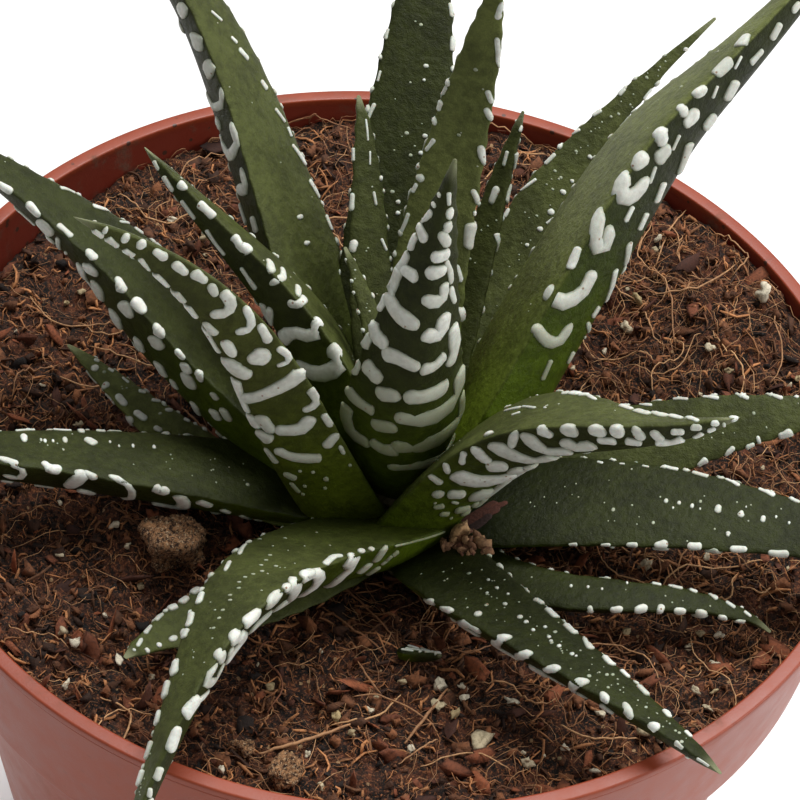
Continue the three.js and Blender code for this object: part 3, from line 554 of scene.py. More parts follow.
def closed_grids(grids, first, last):
    """Many closed shapes at once. grids is shapes by rows by columns by 3; first and last are the poles
    of each shape. Faces are turned outwards by the sign of the volume that they enclose."""
    shapes, rows, columns = grids.shape[:3]
    size = rows * columns + 2
    points = np.concatenate([grids.reshape(shapes, -1, 3), first[:, None], last[:, None]], 1)
    quads, fans = grid_index(rows, columns)
    triangles = np.concatenate([quads[:, [0, 1, 2]], quads[:, [0, 2, 3]], fans])
    a, b, c = (points[:, triangles[:, k]] for k in range(3))
    if np.einsum("ijk,ijk->", a, np.cross(b, c)) < 0:
        quads = quads[:, ::-1]
        fans = fans[:, ::-1]
    shift = (np.arange(shapes) * size)[:, None, None]
    return {
        "points": points.reshape(-1, 3),
        "quads": (quads[None] + shift).reshape(-1, 4),
        "fans": (fans[None] + shift).reshape(-1, 3),
        "values": {},
        "size": size,
    }


def spread(part, name, per_grid=None, per_shape=None, ends=(0.0, 0.0)):
    """Gives each point of closed shapes a value, from one value a grid point or one a shape."""
    size = part["size"]
    shapes = len(part["points"]) // size
    if per_shape is not None:
        values = np.repeat(np.asarray(per_shape, float), size)
    else:
        flat = np.asarray(per_grid, float).reshape(shapes, -1)
        poles = np.tile(np.asarray(ends, float), (shapes, 1))
        values = np.concatenate([flat, poles], 1).ravel()
    part["values"][name] = values
    return part


def mesh_of(name, parts, materials):
    """One smooth shaded mesh from parts, each with its own material."""
    points = np.concatenate([p["points"] for p in parts])
    starts = np.cumsum([0] + [len(p["points"]) for p in parts[:-1]])
    corners, sizes, finish = [], [], []
    for k, (part, start) in enumerate(zip(parts, starts)):
        corners += [(part["quads"] + start).ravel(), (part["fans"] + start).ravel()]
        sizes += [np.full(len(part["quads"]), 4), np.full(len(part["fans"]), 3)]
        finish.append(np.full(len(part["quads"]) + len(part["fans"]), k))
    corners = np.concatenate(corners)
    sizes = np.concatenate(sizes)
    mesh = bpy.data.meshes.new(name)
    mesh.vertices.add(len(points))
    mesh.vertices.foreach_set("co", (points * MM).astype(np.float32).ravel())
    mesh.loops.add(len(corners))
    mesh.loops.foreach_set("vertex_index", corners.astype(np.int32))
    mesh.polygons.add(len(sizes))
    mesh.polygons.foreach_set("loop_start", np.concatenate([[0], np.cumsum(sizes)[:-1]]).astype(np.int32))
    mesh.polygons.foreach_set("material_index", np.concatenate(finish).astype(np.int32))
    mesh.polygons.foreach_set("use_smooth", np.ones(len(sizes), bool))
    for key in sorted({k for p in parts for k in p["values"]}):
        values = np.concatenate([p["values"].get(key, np.zeros(len(p["points"]))) for p in parts])
        mesh.attributes.new(key, "FLOAT", "POINT").data.foreach_set("value", values.astype(np.float32))
    for material in materials:
        mesh.materials.append(material)
    mesh.validate()
    mesh.update()
    return mesh


def linked(name, data):
    """A new object of that data in the scene."""
    made = bpy.data.objects.new(name, data)
    bpy.context.scene.collection.objects.link(made)
    return made


def piece(name, parts, materials, stands_for=()):
    """One object from parts, riding on the part's body."""
    made = linked(name, mesh_of(name, parts, materials))
    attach(made, "root")
    if stands_for:
        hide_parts(*stands_for)
    return made


# Node groups and materials

class Nodes:
    """Short calls for building one node tree."""

    def __init__(self, tree):
        self.tree = tree

    def add(self, kind, **settings):
        """A node with those settings; a setting whose name starts with in_ is an input's value."""
        node = self.tree.nodes.new(kind)
        for key, value in settings.items():
            if key.startswith("in_"):
                node.inputs[key[3:].replace("_", " ")].default_value = value
            else:
                setattr(node, key, value)
        return node

    def join(self, source, target):
        """A link from a socket to another."""
        self.tree.links.new(source, target)

    def feed(self, target, source):
        """Links source to the socket target, or sets it there when it is a fixed value."""
        if isinstance(source, bpy.types.NodeSocket):
            self.join(source, target)
        else:
            target.default_value = source

    def value(self, name):
        """The piece's own attribute of that name."""
        return self.add("ShaderNodeAttribute", attribute_name=name).outputs["Fac"]

    def mix(self, factor, a, b, blend="MIX"):
        """Colour mix; factor, a and b are sockets or fixed values."""
        node = self.add("ShaderNodeMix", data_type="RGBA", blend_type=blend)
        for index, source in ((0, factor), (6, a), (7, b)):
            self.feed(node.inputs[index], source)
        return node.outputs[2]

    def math(self, kind, a, b=0.0):
        """The result of that operation on a and b, sockets or fixed values."""
        node = self.add("ShaderNodeMath", operation=kind)
        self.feed(node.inputs[0], a)
        self.feed(node.inputs[1], b)
        return node.outputs[0]

    def step(self, source, low, high, start=0.0, end=1.0):
        """Maps low..high smoothly to start..end."""
        node = self.add("ShaderNodeMapRange", interpolation_type="SMOOTHSTEP")
        for key, number in (("From Min", low), ("From Max", high), ("To Min", start), ("To Max", end)):
            node.inputs[key].default_value = number
        self.join(source, node.inputs["Value"])
        return node.outputs["Result"]

    def noise(self, place, size, detail=3.0, rough=0.55):
        """Noise whose features are about size millimetres across."""
        node = self.add("ShaderNodeTexNoise", in_Scale=1 / (size * MM), in_Detail=detail, in_Roughness=rough)
        self.join(place, node.inputs["Vector"])
        return node.outputs["Fac"]


def new_group(name, inputs, outputs):
    """An empty shader group with those float or colour sockets."""
    tree = bpy.data.node_groups.new(name, "ShaderNodeTree")
    for label, kind, start in inputs:
        socket = tree.interface.new_socket(label, in_out="INPUT", socket_type=kind)
        if start is not None:
            socket.default_value = start
    for label, kind in outputs:
        tree.interface.new_socket(label, in_out="OUTPUT", socket_type=kind)
    nodes = Nodes(tree)
    return tree, nodes, nodes.add("NodeGroupInput"), nodes.add("NodeGroupOutput")


def mottle_group():
    """Blotches of two sizes and a fine grain, mixed to one mask around 0.5."""
    tree, n, start, end = new_group(
        "mottle",
        [("Vector", "NodeSocketVector", None), ("Large", "NodeSocketFloat", 200.0),
         ("Small", "NodeSocketFloat", 1200.0), ("Grain", "NodeSocketFloat", 5000.0)],
        [("Mask", "NodeSocketFloat"), ("Fine", "NodeSocketFloat")],
    )
    found = []
    for label in ("Large", "Small", "Grain"):
        noise = n.add("ShaderNodeTexNoise", in_Detail=3.0)
        n.join(start.outputs["Vector"], noise.inputs["Vector"])
        n.join(start.outputs[label], noise.inputs["Scale"])
        found.append(noise.outputs["Fac"])
    both = n.math("ADD", n.math("MULTIPLY", found[0], 0.5), n.math("MULTIPLY", found[1], 0.5))
    n.join(both, end.inputs["Mask"])
    n.join(found[2], end.inputs["Fine"])
    return tree


def specks_group():
    """Scattered round specks: cells whose own number is under a share, masked to a dot at the centre."""
    tree, n, start, end = new_group(
        "specks",
        [("Vector", "NodeSocketVector", None), ("Scale", "NodeSocketFloat", 1000.0),
         ("Share", "NodeSocketFloat", 0.2), ("Size", "NodeSocketFloat", 0.25)],
        [("Mask", "NodeSocketFloat")],
    )
    cells = n.add("ShaderNodeTexVoronoi")
    n.join(start.outputs["Vector"], cells.inputs["Vector"])
    n.join(start.outputs["Scale"], cells.inputs["Scale"])
    apart = n.add("ShaderNodeSeparateColor")
    n.join(cells.outputs["Color"], apart.inputs["Color"])
    chosen = n.math("LESS_THAN", apart.outputs["Red"], start.outputs["Share"])
    near = n.math("LESS_THAN", cells.outputs["Distance"], start.outputs["Size"])
    n.join(n.math("MULTIPLY", chosen, near), end.inputs["Mask"])
    return tree


MOTTLE = mottle_group()
SPECKS = specks_group()


def material(name, **shader):
    """A new material: its node helper, its shader and the piece's Object coordinates."""
    made = bpy.data.materials.new(name)
    made.use_nodes = True
    n = Nodes(made.node_tree)
    principled = made.node_tree.nodes["Principled BSDF"]
    for key, value in shader.items():
        principled.inputs[key.replace("_", " ")].default_value = value
    place = n.add("ShaderNodeTexCoord").outputs["Object"]
    return made, n, principled, place


def grouped(n, tree, place, **values):
    """A group node fed with the place and its own values."""
    node = n.add("ShaderNodeGroup", node_tree=tree)
    n.join(place, node.inputs["Vector"])
    for key, value in values.items():
        node.inputs[key].default_value = value
    return node


def bump(n, principled, height, depth, strength=1.0):
    """A bump of that depth in millimetres from a height from 0 to 1."""
    node = n.add("ShaderNodeBump", in_Distance=depth * MM, in_Strength=strength)
    n.join(height, node.inputs["Height"])
    n.join(node.outputs["Normal"], principled.inputs["Normal"])


def leaf_material():
    """Waxy green skin: darker below, paler by the leaf's pallor value, which is partly its own paleness and
    partly painted light and shade set leaf by leaf; towards the foot yellow-green on pale leaves and very
    dark on dark ones, a painted shade in the heart of the rosette; with blotches, a fine grain and faint
    lengthways streaks."""
    made, n, shader, place = material("leaf_skin", Specular_IOR_Level=0.15, Subsurface_Weight=0.05,
                                      Subsurface_Scale=0.001)
    shader.inputs["Subsurface Radius"].default_value = (0.6, 1.0, 0.2)
    along, under, pallor = n.value("along"), n.value("under"), n.value("pallor")
    mottle = grouped(n, MOTTLE, place, Large=170.0, Small=900.0, Grain=4500.0)
    # Towards the foot the upper face turns very dark on dark leaves, a painted shade in the heart of the
    # rosette, and yellow-green on pale ones
    foot = n.step(along, 0.42, 0.05)
    low = n.step(along, 0.52, 0.12)
    # The pallor value mixes each side towards its pale colour; it is partly the leaf's own paleness and
    # partly painted light and shade set leaf by leaf
    upper = n.mix(pallor, linear("leaf_top"), linear("leaf_top_pale"))
    upper = n.mix(foot, upper, n.mix(pallor, linear("leaf_top_foot"), linear("leaf_top_foot_pale")))
    lower = n.mix(pallor, linear("leaf_under"), linear("leaf_under_pale"))
    lower = n.mix(low, lower, n.mix(pallor, linear("leaf_under_foot"), linear("leaf_under_foot_pale")))
    colour = n.mix(under, upper, lower)
    blotch = n.step(mottle.outputs["Mask"], 0.35, 0.65, 0.72, 1.28)
    grain = n.step(mottle.outputs["Fine"], 0.3, 0.7, 0.88, 1.12)
    shade = n.math("MULTIPLY", blotch, grain)
    tone = n.add("ShaderNodeCombineColor")
    for key in ("Red", "Green", "Blue"):
        n.join(shade, tone.inputs[key])
    colour = n.mix(1.0, colour, tone.outputs["Color"], "MULTIPLY")
    pale = n.step(n.noise(place, 0.22, 2.0), 0.62, 0.75, 0.0, 0.22)
    colour = n.mix(pale, colour, linear("leaf_fleck"))
    colour = n.mix(n.step(along, 0.94, 0.995, 0.0, 0.6), colour, linear("leaf_dry_end"))
    n.join(colour, shader.inputs["Base Color"])
    n.join(n.step(mottle.outputs["Fine"], 0.3, 0.7, 0.42, 0.6), shader.inputs["Roughness"])
    height = n.math("ADD", n.math("MULTIPLY", mottle.outputs["Fine"], 0.6), n.noise(place, 0.12, 2.0))
    height = n.math("ADD", height, n.math("MULTIPLY", n.noise(place, 0.9, 2.0), 3.0))
    bump(n, shader, height, 0.07, 0.9)
    return made


def tubercle_material():
    """Chalky white warts, greener where they fade into the skin, with a few brown specks on top."""
    made, n, shader, place = material("white_tubercle", Specular_IOR_Level=0.3, Subsurface_Weight=0.1,
                                      Subsurface_Scale=0.001)
    fade, tone, rim = n.value("fade"), n.value("tone"), n.value("rim")
    white = n.mix(tone, linear("tubercle_grey"), linear("tubercle_white"))
    colour = n.mix(fade, white, linear("tubercle_faded"))
    colour = n.mix(n.step(rim, 0.25, 0.8, 0.55, 0.0), colour, linear("tubercle_rim"))
    specks = grouped(n, SPECKS, place, Scale=1700.0, Share=0.045, Size=0.24)
    colour = n.mix(specks.outputs["Mask"], colour, linear("tubercle_speck"))
    cloud = n.step(n.noise(place, 0.7, 3.0), 0.35, 0.7, 0.0, 0.35)
    colour = n.mix(cloud, colour, linear("tubercle_cloud"))
    n.join(colour, shader.inputs["Base Color"])
    n.join(n.step(n.noise(place, 0.3), 0.3, 0.7, 0.4, 0.62), shader.inputs["Roughness"])
    bump(n, shader, n.noise(place, 0.18, 3.0), 0.04, 0.8)
    return made


def pot_material():
    """Moulded terracotta-coloured plastic: even, slightly glossy, with scuffs, soil dust and specks, and a
    painted shade that darkens the inner wall and floor.
    """
    made, n, shader, place = material("terracotta_plastic", Specular_IOR_Level=0.4)
    inside = n.value("inside")
    mottle = grouped(n, MOTTLE, place, Large=40.0, Small=350.0, Grain=3500.0)
    colour = n.mix(n.step(mottle.outputs["Mask"], 0.35, 0.65), linear("plastic"), linear("plastic_light"))
    # Painted shade: the inner wall and floor darker than the outside
    colour = n.mix(inside, colour, linear("plastic_inside_shade"))
    dust = n.math("MULTIPLY", n.step(n.noise(place, 5.0, 5.0, 0.7), 0.52, 0.72), n.value("dust"))
    colour = n.mix(dust, colour, linear("dust"))
    specks = grouped(n, SPECKS, place, Scale=900.0, Share=0.08, Size=0.32)
    speckled = n.math("MULTIPLY", specks.outputs["Mask"], n.value("dust"))
    colour = n.mix(speckled, colour, linear("dust_speck"))
    n.join(colour, shader.inputs["Base Color"])
    rough = n.math("ADD", n.step(mottle.outputs["Mask"], 0.3, 0.7, 0.36, 0.5), n.math("MULTIPLY", dust, 0.3))
    n.join(rough, shader.inputs["Roughness"])
    bump(n, shader, n.math("ADD", mottle.outputs["Fine"], dust), 0.03, 0.6)
    return made


def soil_material():
    """Dark peat with reddish crumbs and pale flecks."""
    made, n, shader, place = material("peat", Roughness=0.95)
    mottle = grouped(n, MOTTLE, place, Large=260.0, Small=1300.0, Grain=3600.0)
    colour = n.mix(n.step(mottle.outputs["Mask"], 0.42, 0.6), linear("peat_black"), linear("peat_brown"))
    colour = n.mix(n.step(mottle.outputs["Fine"], 0.5, 0.66, 0.0, 0.85), colour, linear("peat_tan"))
    dark = n.step(n.noise(place, 0.8, 4.0, 0.7), 0.42, 0.52, 0.75, 0.0)
    colour = n.mix(dark, colour, linear("peat_black"))
    specks = grouped(n, SPECKS, place, Scale=1100.0, Share=0.05, Size=0.28)
    colour = n.mix(specks.outputs["Mask"], colour, linear("peat_fleck"))
    n.join(colour, shader.inputs["Base Color"])
    bump(n, shader, n.noise(place, 0.6, 5.0, 0.7), 0.5, 1.0)
    return made


def tone_material(name, colours, roughness, grain_size, depth):
    """A material between its dark and its light colour by each crumb's own tone, with a darker grain of
    its own."""
    made, n, shader, place = material(name, Roughness=roughness)
    grain = n.noise(place, grain_size, 4.0, 0.65)
    colour = n.mix(n.value("tone"), linear(colours + "_dark"), linear(colours + "_light"))
    colour = n.mix(n.step(grain, 0.4, 0.7, 0.0, 0.5), colour, linear(colours + "_dark", 0.55))
    n.join(colour, shader.inputs["Base Color"])
    bump(n, shader, grain, depth, 0.9)
    return made


# Leaves

def leaf_values(leaf):
    """A leaf's values by name, with the four control points of its middle line, the cubic curve from
    foot to tip that passes its other two points at a third and two thirds, and with tables of the
    curve's place against the share of the length and of the leaf's section."""
    facing, foot, third, two_thirds, tip, width, thick, taper, turn, rows, pallor = leaf
    start, a, b, end = (np.array(p, float) for p in (foot, third, two_thirds, tip))
    control = np.array([start, (-5 * start + 18 * a - 9 * b + 2 * end) / 6,
                        (2 * start - 9 * a + 18 * b - 5 * end) / 6, end])
    values = dict(control=control, angle=np.radians(facing), width=width, thick=thick, taper=taper,
                  turn=np.radians(turn), rows=rows, pallor=pallor)
    t = np.linspace(0, 1, 400)
    lengths = np.concatenate([[0], np.cumsum(np.linalg.norm(np.diff(line(values, t)[0], axis=0), axis=1))])
    values["length"] = lengths[-1]
    values["shares"] = lengths / lengths[-1]
    values["places"] = t
    values["teeth"] = (np.zeros(0), np.zeros(0))
    girth_tables(values)
    return values


def line(leaf, t):
    """Point and unit tangent of the middle line at t."""
    u = np.asarray(t)[..., None]
    p0, p1, p2, p3 = leaf["control"]
    point = (1 - u) ** 3 * p0 + 3 * u * (1 - u) ** 2 * p1 + 3 * u * u * (1 - u) * p2 + u ** 3 * p3
    along = (1 - u) ** 2 * (p1 - p0) + 2 * u * (1 - u) * (p2 - p1) + u * u * (p3 - p2)
    return point, along / np.linalg.norm(along, axis=-1, keepdims=True)


def blade(leaf, t):
    """Middle line, sideways and upward directions at t: the level direction square to the foot's
    angle, made square to the line and turned about it."""
    centre, forward = line(leaf, t)
    level = np.array([-np.sin(leaf["angle"]), np.cos(leaf["angle"]), 0.0])
    across = level - (forward @ level)[..., None] * forward
    across /= np.linalg.norm(across, axis=-1, keepdims=True)
    turn = (leaf["turn"][0] + (leaf["turn"][1] - leaf["turn"][0]) * np.asarray(t))[..., None]
    across = across * np.cos(turn) + np.cross(forward, across) * np.sin(turn)
    return centre, forward, across, np.cross(forward, across)


def leaf_surface(leaf, share, around):
    """Point of the leaf's skin at a share of its length and an angle around its section. The half width
    falls to the tip as 1 - t^taper and narrows a little to the foot. The place across is the half width
    times c = cos(around); the upper face (around from 0 to pi) is a low crown, the underside a keel
    -depth (1 - |c|^1.8), and both swell by a rounded margin. Beside each tooth the half width gains a
    bell exp(-d^2) of the distance d from it along the margin."""
    t = np.interp(share, leaf["shares"], leaf["places"])
    centre, _, across, up = blade(leaf, t)
    u = np.minimum(t / FOOT_RUN, 1)
    full = np.clip(1 - t ** leaf["taper"], 0, 1)
    half = 0.5 * leaf["width"] * full * (FOOT_SHARE + (1 - FOOT_SHARE) * u * (2 - u)) + EDGE_HALF_THICKNESS
    depth = leaf["thick"] * full ** DEPTH_POWER
    c = np.cos(around)
    for side, places in ((1, leaf["teeth"][0]), (-1, leaf["teeth"][1])):
        if len(places):
            near = (np.asarray(share)[..., None] - places) * leaf["length"] / TOOTH_REACH
            swell = TOOTH_SWELL * np.exp(-near * near).sum(-1) - TOOTH_HOLLOW
            swell = np.where(side * c > 0, swell * np.abs(c) ** EDGE_POWER, 0)
            half = half + swell * smooth(full, 0.03, 0.15)
    rounding = EDGE_ROUND * np.sqrt(np.clip(1 - c ** EDGE_POWER, 0, 1)) * smooth(full, -0.02, 0.12)
    upper = CROWN * depth * (1 - c * c) + rounding
    lower = -depth * (1 - np.abs(c) ** KEEL_POWER) - rounding
    height = np.where(np.sin(around) >= 0, upper, lower)
    return STEM_AXIS + centre + across * (c * half)[..., None] + up * height[..., None]


def girth_tables(leaf):
    """Tables of the section: the angle at each part of the way round it, which is counted from 0 at
    the right margin to 1 at the left margin over the upper face and to -1 along the underside, and is
    measured at one middle share of the length; and the underside's length at many shares of it."""
    angles = np.linspace(-np.pi, np.pi, 721)
    half = len(angles) // 2
    middle = 0.4
    points = leaf_surface(leaf, np.full(len(angles), middle), angles)
    way = np.concatenate([[0], np.cumsum(np.linalg.norm(np.diff(points, axis=0), axis=1))])
    way = way - way[half]
    leaf["way"] = np.where(way < 0, way / -way[0], way / way[-1])
    leaf["angles"] = angles
    shares, under = np.broadcast_arrays(np.linspace(0.02, 0.98, 33)[:, None], angles[:half + 1])
    rows = leaf_surface(leaf, shares, under)
    leaf["girths"] = (shares[:, 0], np.linalg.norm(np.diff(rows, axis=1), axis=2).sum(1))


def on_skin(leaf, share, way):
    """Point of the skin at a share of the length and a part of the way round the section."""
    return leaf_surface(leaf, share, np.interp((way + 1) % 2 - 1, leaf["way"], leaf["angles"]))


def slopes(leaf, share, way):
    """Change of the skin's point with the share and with the way round, and its outward normal."""
    step = 1e-3
    low, high = np.clip(share - step, 0, 1), np.clip(share + step, 0, 1)
    along = (on_skin(leaf, high, way) - on_skin(leaf, low, way)) / (high - low)[..., None]
    turn = 0.012
    across = (on_skin(leaf, share, way + turn) - on_skin(leaf, share, way - turn)) / (2 * turn)
    normal = np.cross(across, along)
    normal /= np.linalg.norm(normal, axis=-1, keepdims=True)
    return along, across, normal


def blade_part(leaf):
    """The leaf's skin as a grid of share by angle, closer together towards the tip, with a bluntly
    closed foot and a pole at the tip."""
    x = np.linspace(0, 1, LEAF_ROWS)
    share = (x * (1.3 - 0.3 * x))[:, None] * BLADE_END
    around = (np.arange(LEAF_COLUMNS) * 2 * np.pi / LEAF_COLUMNS)[None]
    share, around = np.broadcast_arrays(share, around)
    grid = leaf_surface(leaf, share, around)
    foot = grid[0].mean(0)
    tip = leaf_surface(leaf, np.array([1.0]), np.array([np.pi / 2]))[0]
    part = closed_grids(grid[None], foot[None], tip[None])
    below = smooth(-np.sin(around), -0.08, 0.16)
    spread(part, "along", share[None], ends=(0.0, 1.0))
    spread(part, "under", below[None], ends=(1.0, 0.5))
    # Pallor above and below: partly the leaf's own paleness, partly painted light and shade
    above, under = leaf["pallor"]
    spread(part, "pallor", above * (1 - below[None]) + under * below[None], ends=(0.2, 0.2))
    return part


def curve_of(points, samples):
    """A straight line between two points, or a smooth one through more: between each two of them a
    cubic, whose slope at a point is half the step from the point before to the point after."""
    points = np.asarray(points, float)
    if len(points) == 2:
        u = np.linspace(0, 1, samples)[:, None]
        return points[0] * (1 - u) + points[1] * u
    place = np.linspace(0, len(points) - 1, samples)
    k = np.clip(place.astype(int), 0, len(points) - 2)
    u = (place - k)[:, None]
    before = points[np.clip(k - 1, 0, None)]
    after = points[np.clip(k + 2, None, len(points) - 1)]
    a, b = points[k], points[k + 1]
    return 0.5 * (2 * a + (b - before) * u + (2 * before - 5 * a + 4 * b - after) * u ** 2
                  + (3 * a - before - 3 * b + after) * u ** 3)


def pixel_scales(leaf, shares, turns, spots):
    """Pixels of the photograph to a millimetre of skin at the middle of each mark's line, across it and
    along it: two short probes, square to the line and along it, are measured in the picture."""
    half = shares.shape[1] // 2
    normal = slopes(leaf, shares[:, half], turns[:, half])[2]
    centre = spots[:, half]
    tangent = spots[:, half + 1] - spots[:, half - 1]
    tangent /= np.linalg.norm(tangent, axis=-1, keepdims=True)
    sideways = PROBE / 2 * np.cross(normal, tangent)
    onward = PROBE / 2 * tangent
    side = picture(centre + sideways) - picture(centre - sideways)
    run = picture(centre + onward) - picture(centre - onward)
    long = np.linalg.norm(run, axis=-1) + 1e-6
    wide = np.abs(side[:, 0] * run[:, 1] - side[:, 1] * run[:, 0]) / long
    return np.maximum(wide / PROBE, LEAST_PIXELS), np.maximum(long / PROBE, LEAST_PIXELS)


def skin_steps(along, across, side):
    """Share and way round to a millimetre in the direction side: the two factors that make it out of
    the skin's slopes along and across, from the products of the three."""
    long, wide, lean = (along * along).sum(-1), (across * across).sum(-1), (along * across).sum(-1)
    onward, sideways = (side * along).sum(-1), (side * across).sum(-1)
    scale = long * wide - lean * lean
    return (onward * wide - sideways * lean) / scale, (sideways * long - onward * lean) / scale


def ridges(leaf, marks, middle=2, section=SECTION, seed=1, pixels=False, height=None):
    """Raised marks on a leaf's skin. Each is a closed pillow along a line of (share, way round)
    places: its rings are laid on the skin square to the line, narrowed over a cap at each end as
    sqrt(1 - x^2), raised by the sine of the angle round the ring and sunk a little below. Half widths
    are in millimetres, or in the photograph's pixels."""
    own = np.random.default_rng(seed)
    curves, widths = [], []
    for width, path in marks:
        points = np.asarray(path, float)
        if len(points) == 1:
            grow = SPOT_RUN[pixels] * width / np.interp(points[0, 0], *leaf["girths"])
            points = points + np.array([[0, -grow], [0, grow]])
        curves.append(curve_of(points, MARK_PLACES))
        widths.append(width)
    curves, widths = np.array(curves), np.array(widths)
    shares, turns = curves[..., 0], curves[..., 1]
    spots = on_skin(leaf, shares, turns)
    steps = np.linalg.norm(np.diff(spots, axis=1), axis=2)
    lengths = np.concatenate([np.zeros((len(steps), 1)), np.cumsum(steps, 1)], 1)
    total = lengths[:, -1:]
    reach = widths * CAP
    if pixels:
        wide, long = pixel_scales(leaf, shares, turns, spots)
        widths = widths / wide
        reach = reach / long
    reach = reach[:, None]
    if height is None:
        least, gain, most = MARK_HEIGHT
        height = np.minimum(least + gain * widths, most)
    ends = len(CAP_RINGS)
    beyond = np.concatenate([CAP_RINGS, np.zeros(middle), CAP_RINGS[::-1]])[None]
    sign = np.concatenate([-np.ones(ends), np.zeros(middle), np.ones(ends)])[None]
    inside = np.concatenate([np.zeros(ends), np.linspace(0, 1, middle), np.ones(ends)])[None] * total
    speed = np.linalg.norm(np.gradient(spots, axis=1), axis=2)[..., None] + 1e-9
    heading = np.stack([np.gradient(shares, axis=1), np.gradient(turns, axis=1)], -1) / speed

    def at(values):
        """The values of each line at its rings' places."""
        return np.array([np.interp(*three) for three in zip(inside, lengths, values)])

    bearing = np.stack([at(heading[..., 0]), at(heading[..., 1])], -1)
    extra = (sign * beyond * reach)[..., None] * bearing
    ring_share = np.clip(at(shares) + extra[..., 0], 0.005, 0.995)
    ring_turn = at(turns) + extra[..., 1]
    along, across, normal = slopes(leaf, ring_share, ring_turn)
    tangent = along * bearing[..., :1] + across * bearing[..., 1:]
    tangent /= np.linalg.norm(tangent, axis=-1, keepdims=True) + 1e-12
    per_share, per_turn = skin_steps(along, across, np.cross(normal, tangent))
    chance = own.normal(size=(len(widths), ring_share.shape[1] + 2))
    swing, least, most = UNEVEN
    uneven = np.clip(1 + swing * (chance[:, :-2] + chance[:, 1:-1] + chance[:, 2:]), least, most)
    narrowing = np.sqrt(1 - beyond ** 2)
    radius = widths[:, None] * narrowing * uneven + 0.01
    around = np.radians(section)[None, None]
    reach_out = radius[..., None] * np.cos(around)
    grid_share = np.clip(ring_share[..., None] + per_share[..., None] * reach_out, 0.002, 0.998)
    grid_turn = ring_turn[..., None] + per_turn[..., None] * reach_out
    normal = slopes(leaf, grid_share, grid_turn)[2]
    rise = (np.broadcast_to(height, len(widths))[:, None] * narrowing ** 0.8)[..., None]
    lift = np.where(np.sin(around) > 0, rise * np.abs(np.sin(around)), SUNK * np.sin(around))
    grid = on_skin(leaf, grid_share, grid_turn) + normal * lift[..., None]
    part = closed_grids(grid, grid[:, 0].mean(1), grid[:, -1].mean(1))
    rim = np.clip(np.sin(around), 0, 1) * narrowing[..., None]
    spread(part, "rim", np.broadcast_to(rim, grid.shape[:3]))
    spread(part, "tone", per_shape=own.uniform(0, 1, len(widths)))
    spread(part, "along", np.broadcast_to(ring_share[..., None], grid.shape[:3]))
    return part


def seen_places(leaf, marks):
    """Marks read off the photograph as paths of (share, way round): for each pixel the nearest place
    of a fine grid over the side that faces the camera, then one step along the skin's slopes, or none
    where the skin is seen edge on."""
    share, way = np.meshgrid(SEEN_SHARES, SEEN_WAYS, indexing="ij")
    points = on_skin(leaf, share, way)
    normal = slopes(leaf, share, way)[2]
    facing = ((CAMERA_PLACE - points) * normal).sum(-1) > 0
    share, way = share[facing], way[facing]
    seen = picture(points[facing])
    found = []
    for mark in marks:
        spots = np.array(mark[1:], float).reshape(-1, 2)
        near = ((seen[None] - spots[:, None]) ** 2).sum(-1).argmin(1)
        s, w = share[near], way[near]
        step = 0.004
        left = spots - seen[near]
        ds = (picture(on_skin(leaf, s + step, w)) - seen[near]) / step
        dw = (picture(on_skin(leaf, s, w + step)) - seen[near]) / step
        area = ds[:, 0] * dw[:, 1] - ds[:, 1] * dw[:, 0]
        area = np.where(np.abs(area) < EDGE_ON, NO_STEP, area)
        s = s + np.clip((left[:, 0] * dw[:, 1] - left[:, 1] * dw[:, 0]) / area, -step, step)
        w = w + np.clip((ds[:, 0] * left[:, 1] - ds[:, 1] * left[:, 0]) / area, -step, step)
        found.append((mark[0], np.stack([s, np.unwrap(w, period=2)], 1)))
    return found


def hidden(leaf, marks):
    """The marks that the photograph can't show: turned away from the camera or outside its frame."""
    middle = np.array([np.mean(path, 0) for _, path in marks])
    points = on_skin(leaf, middle[:, 0], middle[:, 1])
    normal = slopes(leaf, middle[:, 0], middle[:, 1])[2]
    view = CAMERA_PLACE - points
    away = (view * normal).sum(-1) / np.linalg.norm(view, axis=-1) < TURNED_AWAY
    outside = (np.abs(picture(points) - IMAGE_SIZE / 2) > IMAGE_SIZE / 2 + PAST_FRAME).any(-1)
    return [m for m, keep in zip(marks, away | outside) if keep]


def row_marks(leaf, own):
    """Rows of tubercles over the underside: each row bends towards the tip at the margins, by the
    square of the place across; its marks are spots near the tip and longer, partly merged bands lower
    down, a few places stay empty, and the size swells from the tip and shrinks again to the foot."""
    found = []
    rows = leaf["rows"]
    for k in range(rows):
        share = ROWS_START + ROWS_RUN * (k + 0.5) / rows
        girth = np.interp(share, *leaf["girths"])
        size = (0.34 + 0.5 * smooth(share, 1.0, 0.65)) * (0.5 + 0.5 * smooth(share, 0.08, 0.4))
        size = size * leaf["scale"]
        count = max(1, int(round((girth - 1.6) / (2.6 * size + ROW_CLEAR))))
        edges = np.linspace(-1 + ROW_CLEAR / girth, -ROW_CLEAR / girth, count + 1)
        pad = 0.5 * (edges[1] - edges[0]) * ROW_GAP
        merging = ROW_MERGING * smooth(share, 0.95, 0.5)
        j = 0
        while j < count:
            joined = 1
            while j + joined < count and joined < MOST_MERGED and own.uniform() < merging:
                joined += 1
            span = np.linspace(edges[j] + pad, edges[j + joined] - pad, joined + 1)
            wander = share + ROW_BEND * (2 * span + 1) ** 2 + own.normal(0, 0.005)
            wander = wander + own.normal(0, 0.004, len(span))
            if own.uniform() > EMPTY_PLACES:
                found.append((size * own.uniform(0.75, 1.2), np.stack([wander, span], 1)))
            j += joined
    return found


